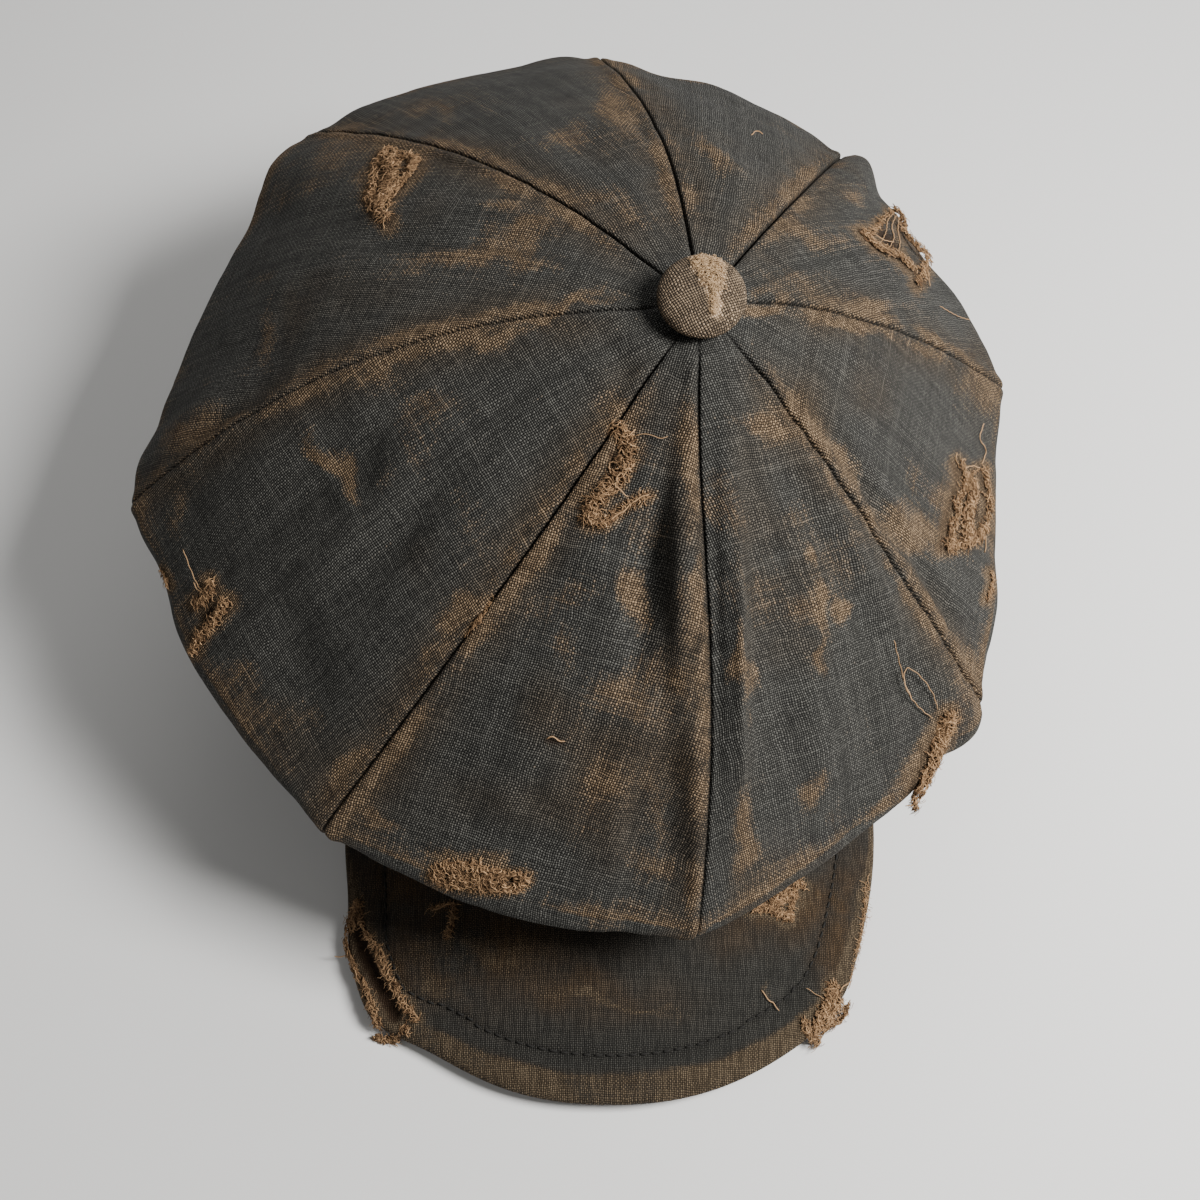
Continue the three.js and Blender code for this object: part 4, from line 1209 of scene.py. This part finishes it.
# Loose threads through the photo's pixels, lifted off the cloth towards the eye: the piece they sit on,
# the lift at both ends in millimetres, the radius, and the line
threadRows = [
    ("crown", 0.5, 1.0, 0.12, [(634, 436), (648, 434), (658, 438), (668, 437)]),
    ("crown", 0.5, 1.5, 0.2, [(612, 478), (618, 488), (624, 494), (628, 497)]),
    ("crown", 0.6, 1.6, 0.22, [(606, 522), (622, 512), (636, 500), (649, 494)]),
    ("crown", 0.6, 3.0, 0.16, [(203, 592), (197, 584), (190, 568), (183, 549)]),
    ("crown", 0.6, 2.0, 0.18, [(208, 596), (198, 590), (193, 582)]),
    ("crown", 0.6, 3.0, 0.2, [(982, 464), (986, 450), (980, 438), (984, 423)]),
    ("crown", 0.5, 1.5, 0.2, [(959, 466), (956, 459), (957, 452)]),
    ("crown", 0.4, 1.0, 0.2, [(984, 530), (986, 542), (985, 553)]),
    ("crown", 1.0, 1.0, 0.2, [(962, 470), (972, 466), (982, 470), (988, 482)]),
    ("crown", 1.0, 4.0, 0.2, [(932, 718), (918, 706), (907, 690), (900, 664), (894, 640)]),
    ("crown", 1.0, 4.0, 0.2, [(938, 710), (933, 694), (922, 678), (908, 668), (904, 680), (912, 700)]),
    ("crown", 0.6, 2.0, 0.2, [(918, 796), (914, 804), (905, 806)]),
    ("crown", 0.6, 1.4, 0.2, [(922, 262), (928, 274), (930, 286)]),
    ("crown", 0.3, 1.0, 0.15, [(940, 306), (950, 312), (960, 317), (970, 320)]),
    ("crown", 0.4, 1.2, 0.2, [(893, 210), (884, 216), (880, 226), (872, 236)]),
    ("crown", 0.4, 1.2, 0.2, [(895, 212), (888, 220), (886, 232), (880, 244)]),
    ("crown", 0.4, 1.2, 0.2, [(897, 214), (892, 226), (894, 238), (888, 250)]),
    ("crown", 0.4, 1.2, 0.2, [(899, 218), (898, 230), (900, 242), (898, 254)]),
    ("crown", 0.4, 1.2, 0.18, [(864, 234), (874, 234), (884, 240), (894, 242)]),
    ("crown", 0.3, 0.6, 0.2, [(546, 739), (553, 737), (560, 741), (565, 742)]),
    ("crown", 0.3, 0.5, 0.2, [(751, 135), (757, 131), (763, 134)]),
    ("crown", 0.5, 1.0, 0.2, [(412, 160), (418, 157), (422, 160)]),
    ("crown", 0.4, 0.8, 0.2, [(379, 214), (383, 222), (384, 229)]),
    ("peak", 0.5, 1.0, 0.2, [(346, 955), (340, 957), (334, 956)]),
    ("peak", 0.5, 1.2, 0.2, [(462, 905), (450, 904), (440, 908), (432, 911)]),
    ("peak", 0.5, 1.5, 0.15, [(825, 1000), (816, 994), (806, 988)]),
    ("peak", 0.4, 0.8, 0.2, [(761, 990), (769, 1000), (774, 1004), (779, 1011)]),
    ("peak", 0.5, 1.5, 0.2, [(838, 996), (842, 988), (848, 983)]),
]


def looseThread(home, low, high, path):
    line, normals = lineThrough(home, path, 0.55)
    share = np.linspace(0, 1, len(line))[:, None]
    line = line + unit(eye - line) * (low + (high - low) * share)
    wave = np.sin(share * len(line) * 0.9 + path[0][0])
    return line + np.cross(normals, unit(np.gradient(line, axis=0))) * wave * 0.12


strands = {"crown_left": [], "crown_right": [], "peak": [], "button": []}


def strandsOn(home, path):
    if home == "crown":
        return strands["crown_right" if path[0][0] < 640 else "crown_left"]
    return strands[home]


for fray in frays:
    strandsOn(fray["home"], fray["path"]).extend(frayedPile(fray))
for home, low, high, radius, path in threadRows:
    strandsOn(home, path).append((looseThread(home, low, high, path), radius, 0.75))

# The peak's right edge and the button's rubbed middle are only fuzzy
fuzzColumns = ("home", "wide", "yarns", "reach", "path")
fuzzRows = [
    ("peak", 0.5, 50, 0.9, [(866, 880), (864, 915), (858, 945), (848, 985)]),
    ("button", 1.9, 150, 0.45, [(698, 258), (704, 268), (711, 284)]),
    ("button", 1.7, 130, 0.45, [(711, 258), (718, 272), (718, 290)]),
    ("button", 0.9, 80, 0.4, [(714, 288), (714, 300), (713, 312)]),
]
for row in fuzzRows:
    fuzz = dict(zip(fuzzColumns, row))
    strands[fuzz["home"]].extend(frayedPile({**fuzz, "hairs": 1.0, "flat": 0.2, "pale": 0.2}))
for key in strands:
    piece = yarnMesh(key + "_frayed_yarns", strands[key])
    finishPiece(piece, key.split("_")[0] + "_linen", paleYarn if key == "button" else frayedYarn)
    print(piece.name, len(piece.data.polygons))


# Topstitching of the peak: short stitches along the line that runs inside its edge
def stitchLine():
    line = []
    for column in range(peak["columns"] + 1):
        distances = peakToEdge[:, column]
        if distances[0] < peak["stitchIn"] + 1:
            continue
        row = int(np.argmin(np.abs(distances - peak["stitchIn"])))
        line.append(peakData["points"][row, column])
    return np.array(line)


stitch = {"pitch": 3.3, "length": 2.3, "points": 7, "arch": 0.32, "lift": 0.02, "radius": 0.34}


def peakStitches():
    line = stitchLine()
    steps = np.concatenate([[0], np.cumsum(np.linalg.norm(np.diff(line, axis=0), axis=1))])
    arch = np.sin(np.linspace(0, np.pi, stitch["points"])) * stitch["arch"]
    strands = []
    for begin in np.arange(1.0, steps[-1] - stitch["pitch"], stitch["pitch"]):
        share = np.linspace(begin, begin + stitch["length"], stitch["points"])
        points = np.stack([np.interp(share, steps, line[:, axis]) for axis in range(3)], axis=-1)
        for index in range(stitch["points"]):
            flat, out = settle(points[index])
            points[index] = flat + out * (stitch["lift"] + arch[index])
        strands.append((points, stitch["radius"], 0.5))
    return strands


stitches = yarnMesh("peak_topstitch", peakStitches(), sides=6)
finishPiece(stitches, "peak_linen", stitchYarn)
print("stitches made")

# Floor, light and camera
studio = {"floor": (0.66, 0.65, 0.63, 1), "world": (0.90, 0.91, 0.92, 1), "worldStrength": 0.18}
bpy.ops.mesh.primitive_plane_add(size=8)
floor = bpy.context.object
floor.name = "floor"
floorPaint = bpy.data.materials.new("floorPaint")
floorPaint.use_nodes = True
floorPaint.node_tree.nodes["Principled BSDF"].inputs["Base Color"].default_value = studio["floor"]
floorPaint.node_tree.nodes["Principled BSDF"].inputs["Roughness"].default_value = 0.8
floor.data.materials.append(floorPaint)
floor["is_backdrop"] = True
world = bpy.data.worlds.new("studio")
bpy.context.scene.world = world
world.use_nodes = True
world.node_tree.nodes["Background"].inputs[0].default_value = studio["world"]
world.node_tree.nodes["Background"].inputs[1].default_value = studio["worldStrength"]

lights = [
    {"name": "key", "place": (0.55, -0.14, 0.66), "size": 0.3, "power": 18.0},
    {"name": "fill", "place": (-0.8, -0.5, 0.7), "size": 1.0, "power": 1.8},
    {"name": "rim", "place": (0.1, 0.9, 0.6), "size": 0.7, "power": 4.0},
]
for light in lights:
    bpy.ops.object.light_add(type="AREA", location=light["place"])
    lamp = bpy.context.object
    lamp.name = light["name"]
    lamp.data.size = light["size"]
    lamp.data.energy = light["power"]
    lamp.rotation_euler = (Vector((0, 0, 0.06)) - lamp.location).to_track_quat("-Z", "Y").to_euler()

cameraPlace = (np.array(camera["place"]) + headMiddle) * mm
bpy.ops.object.camera_add(location=cameraPlace.tolist(), rotation=(math.radians(90 - camera["down"]), 0, 0))
bpy.context.object.data.lens = camera["lens"]
bpy.context.object.data.sensor_width = camera["sensor"]
bpy.context.scene.camera = bpy.context.object
print("studio made")

low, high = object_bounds()
